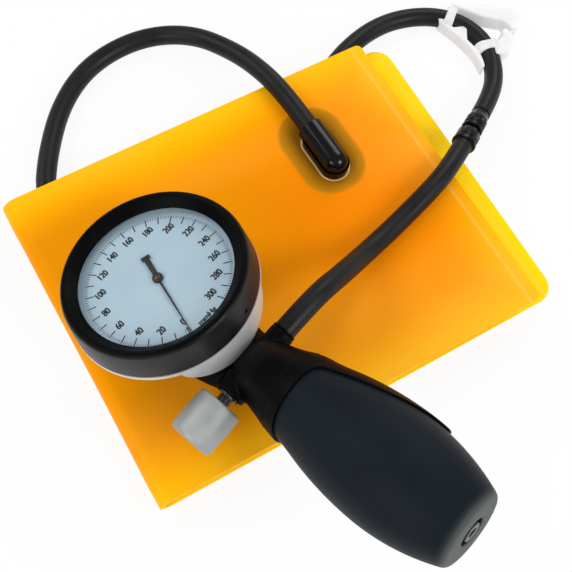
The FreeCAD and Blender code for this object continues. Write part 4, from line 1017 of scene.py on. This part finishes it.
# ---- connector -----------------------------------------------------------------------------------
# Two glossy black halves join the hoses, one plugged into the other. Each has a barrel with notches for
# the fingers and a raised collar; the gauge hose's half is the wider one.
HOSE_RADIUS = 4.25 * MM
GAUGE_HOSE = [
    (-0.0163, -0.03997, 0.0398), (-0.00041, -0.0342, 0.04177), (0.0149, -0.0291, 0.0338),
    (0.0332, -0.0213, 0.0192), (0.0526, -0.0155, 0.01715), (0.0766, -0.008, 0.019),
    (0.0886, -0.0018, 0.01682), (0.09725, 0.0033, 0.0145),
]
CUFF_HOSE = [
    (0.042, 0.04, 0.017), (0.0412, 0.054, 0.017), (0.0384, 0.0715, 0.0178), (0.033, 0.0914, 0.014),
    (0.0215, 0.1136, 0.008), (0.0005, 0.1251, 0.0043), (-0.025, 0.1225, 0.0041), (-0.0449, 0.1094, 0.0041),
    (-0.0604, 0.0881, 0.0056), (-0.071, 0.0671, 0.0064), (-0.0658, 0.0455, 0.0062),
    (-0.0451, 0.0324, 0.0062), (-0.012, 0.031, 0.0062), (0.02, 0.035, 0.0062), (0.045, 0.05, 0.0062),
    (0.0684, 0.0683, 0.0065), (0.0912, 0.0779, 0.0052), (0.1106, 0.0797, 0.0041), (0.1287, 0.0732, 0.0041),
    (0.1394, 0.0618, 0.0041), (0.1426, 0.0472, 0.0041), (0.1381, 0.0333, 0.0041), (0.1279, 0.0221, 0.0062),
    (0.1157, 0.0146, 0.0095),
]
connector_start, connector_end = Vector(GAUGE_HOSE[-1]), Vector(CUFF_HOSE[-1])
CONNECTOR_SPAN = (connector_end - connector_start).length / MM
connector_z = (connector_end - connector_start).normalized()
connector_x = connector_z.orthogonal().normalized()
CONNECTOR = frame_of(connector_start, connector_x, connector_z.cross(connector_x), connector_z)
MALE_PROFILE = [
    (0.8, -6.4), (1.6, -6.4), (1.9, -4.0), (1.6, -1.6), (1.7, 0.06), (4.5, 0.06), (5.25, 0.5), (5.4, 1.2),
    (5.25, 1.9), (4.7, 2.2), (4.7, 2.7), (5.1, 3.1), (5.15, 7.3), (4.8, 7.9), (4.0, 8.3), (3.6, 8.7),
    (3.5, 9.95), (2.2, 10.0), (2.2, 15.0), (0.8, 15.0), (0.8, -6.4),
]
FEMALE_PROFILE = [
    (2.3, 10.1), (4.0, 10.1), (4.6, 10.4), (4.85, 11.1), (4.7, 11.9), (4.1, 12.3), (4.1, 12.9), (4.6, 13.3),
    (4.8, 14.0), (4.6, 14.7), (4.2, 15.0), (4.25, 15.5), (4.65, 16.0), (4.7, 17.6), (4.4, 18.1),
    (4.1, CONNECTOR_SPAN - 1.5), (3.9, CONNECTOR_SPAN - 0.06), (1.7, CONNECTOR_SPAN),
    (1.9, CONNECTOR_SPAN + 4.0), (1.5, CONNECTOR_SPAN + 6.4), (0.8, CONNECTOR_SPAN + 6.4), (0.8, 15.3),
    (2.3, 15.3), (2.3, 10.1),
]
# how many notches, their distance from the axis, start, end and radius
MALE_NOTCHES, FEMALE_NOTCHES = (9, 5.5, 2.5, 7.6, 0.75), (8, 5.0, 12.9, 18.0, 0.6)


def notched(name, profile, count, radius, start, end, notch):
    """A turned half with round grooves along its barrel."""
    half = turned(name, CONNECTOR, profile, 64)
    for k in range(count):
        groove = added("cylinder", vertices=16, radius=notch, depth=end - start)
        groove.data.transform(Matrix.Translation((radius, 0, (start + end) / 2)))
        groove.data.transform(Matrix.Rotation(2 * math.pi * k / count, 4, "Z"))
        to_metres(groove)
        groove.data.transform(CONNECTOR)
        cut(half, groove)
    rounded(half, 35)
    return half


CONNECTOR_GLOSS = gloss_plastic("connector_gloss", 0.2)
for node, profile, notches in (("connector_male", MALE_PROFILE, MALE_NOTCHES),
                               ("connector_female", FEMALE_PROFILE, FEMALE_NOTCHES)):
    half = notched(node.replace("connector", "coupling"), profile, *notches)
    dress(half, CONNECTOR_GLOSS)
    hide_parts(node)


# ---- pinch clamp ---------------------------------------------------------------------------------
# A milk-white nylon clamp, moulded in one with its lever, rides on the cuff's hose. Its edges are soft
# and its thin walls let light through; a painted glow lifts its shaded sides.
CLAMP_VOXEL, CLAMP_SMOOTHING = 0.32, 7
# Milk-white nylon that scatters the light inside it, with a painted glow (emission) that lifts its shaded
# sides.
NYLON_WITH_PAINTED_GLOW = mottled("clamp_nylon_glow", (160, 4), (0.3, 0.54, 0.53, 0.53), (0.7, 0.6, 0.59, 0.59), (0.3, 0.42),
                ((160, 4), 0.0001), Subsurface_Weight=0.8, Subsurface_Radius=(1.0, 1.0, 0.97),
                Subsurface_Scale=0.005, Emission_Color=(1, 1, 0.99, 1), Emission_Strength=0.24)
for node, name, body in (("pinch_clamp", "clamp_strip", "instrument"),
                         ("clamp_lever", "clamp_thumb_lever", "lever")):
    piece = copy_of(node, name)
    moulded(piece, CLAMP_VOXEL, CLAMP_SMOOTHING)
    dress(piece, NYLON_WITH_PAINTED_GLOW, body)
    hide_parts(node)


# ---- hoses ---------------------------------------------------------------------------------------
# Two lengths of extruded rubber hose, pushed over barbed stems. They lie free on the cuff and table, and
# the connector between them hangs just off the flap's edge.

# Grey-black: fine grain, faint bloom, a soft sheen.
HOSE_RUBBER = mottled("hose_rubber", (90, 5), (0.3, 0.007, 0.0072, 0.0078), (0.7, 0.012, 0.0122, 0.013),
                      (0.36, 0.48), ((2600, 2), 0.00004), ((90, 5), 0.0001), Specular_IOR_Level=0.2)


def hose(name, route, node):
    """A free hose along one smooth curve through the route."""
    curve = bpy.data.curves.new(name, "CURVE")
    curve.dimensions = "3D"
    spline = curve.splines.new("NURBS")
    spline.points.add(len(route) - 1)
    for point, place in zip(spline.points, route):
        point.co = (*place, 1)
    spline.order_u = 3
    spline.use_endpoint_u = True
    curve.resolution_u = 16
    curve.bevel_depth = HOSE_RADIUS
    curve.bevel_resolution = 10
    curve.use_fill_caps = True
    curve.materials.append(HOSE_RUBBER)
    piece = bpy.data.objects.new(name, curve)
    bpy.context.scene.collection.objects.link(piece)
    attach(piece, "instrument")
    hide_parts(node)
    return piece


hose("hose_to_gauge", GAUGE_HOSE, "gauge_hose")
hose("hose_to_cuff", CUFF_HOSE, "cuff_hose")
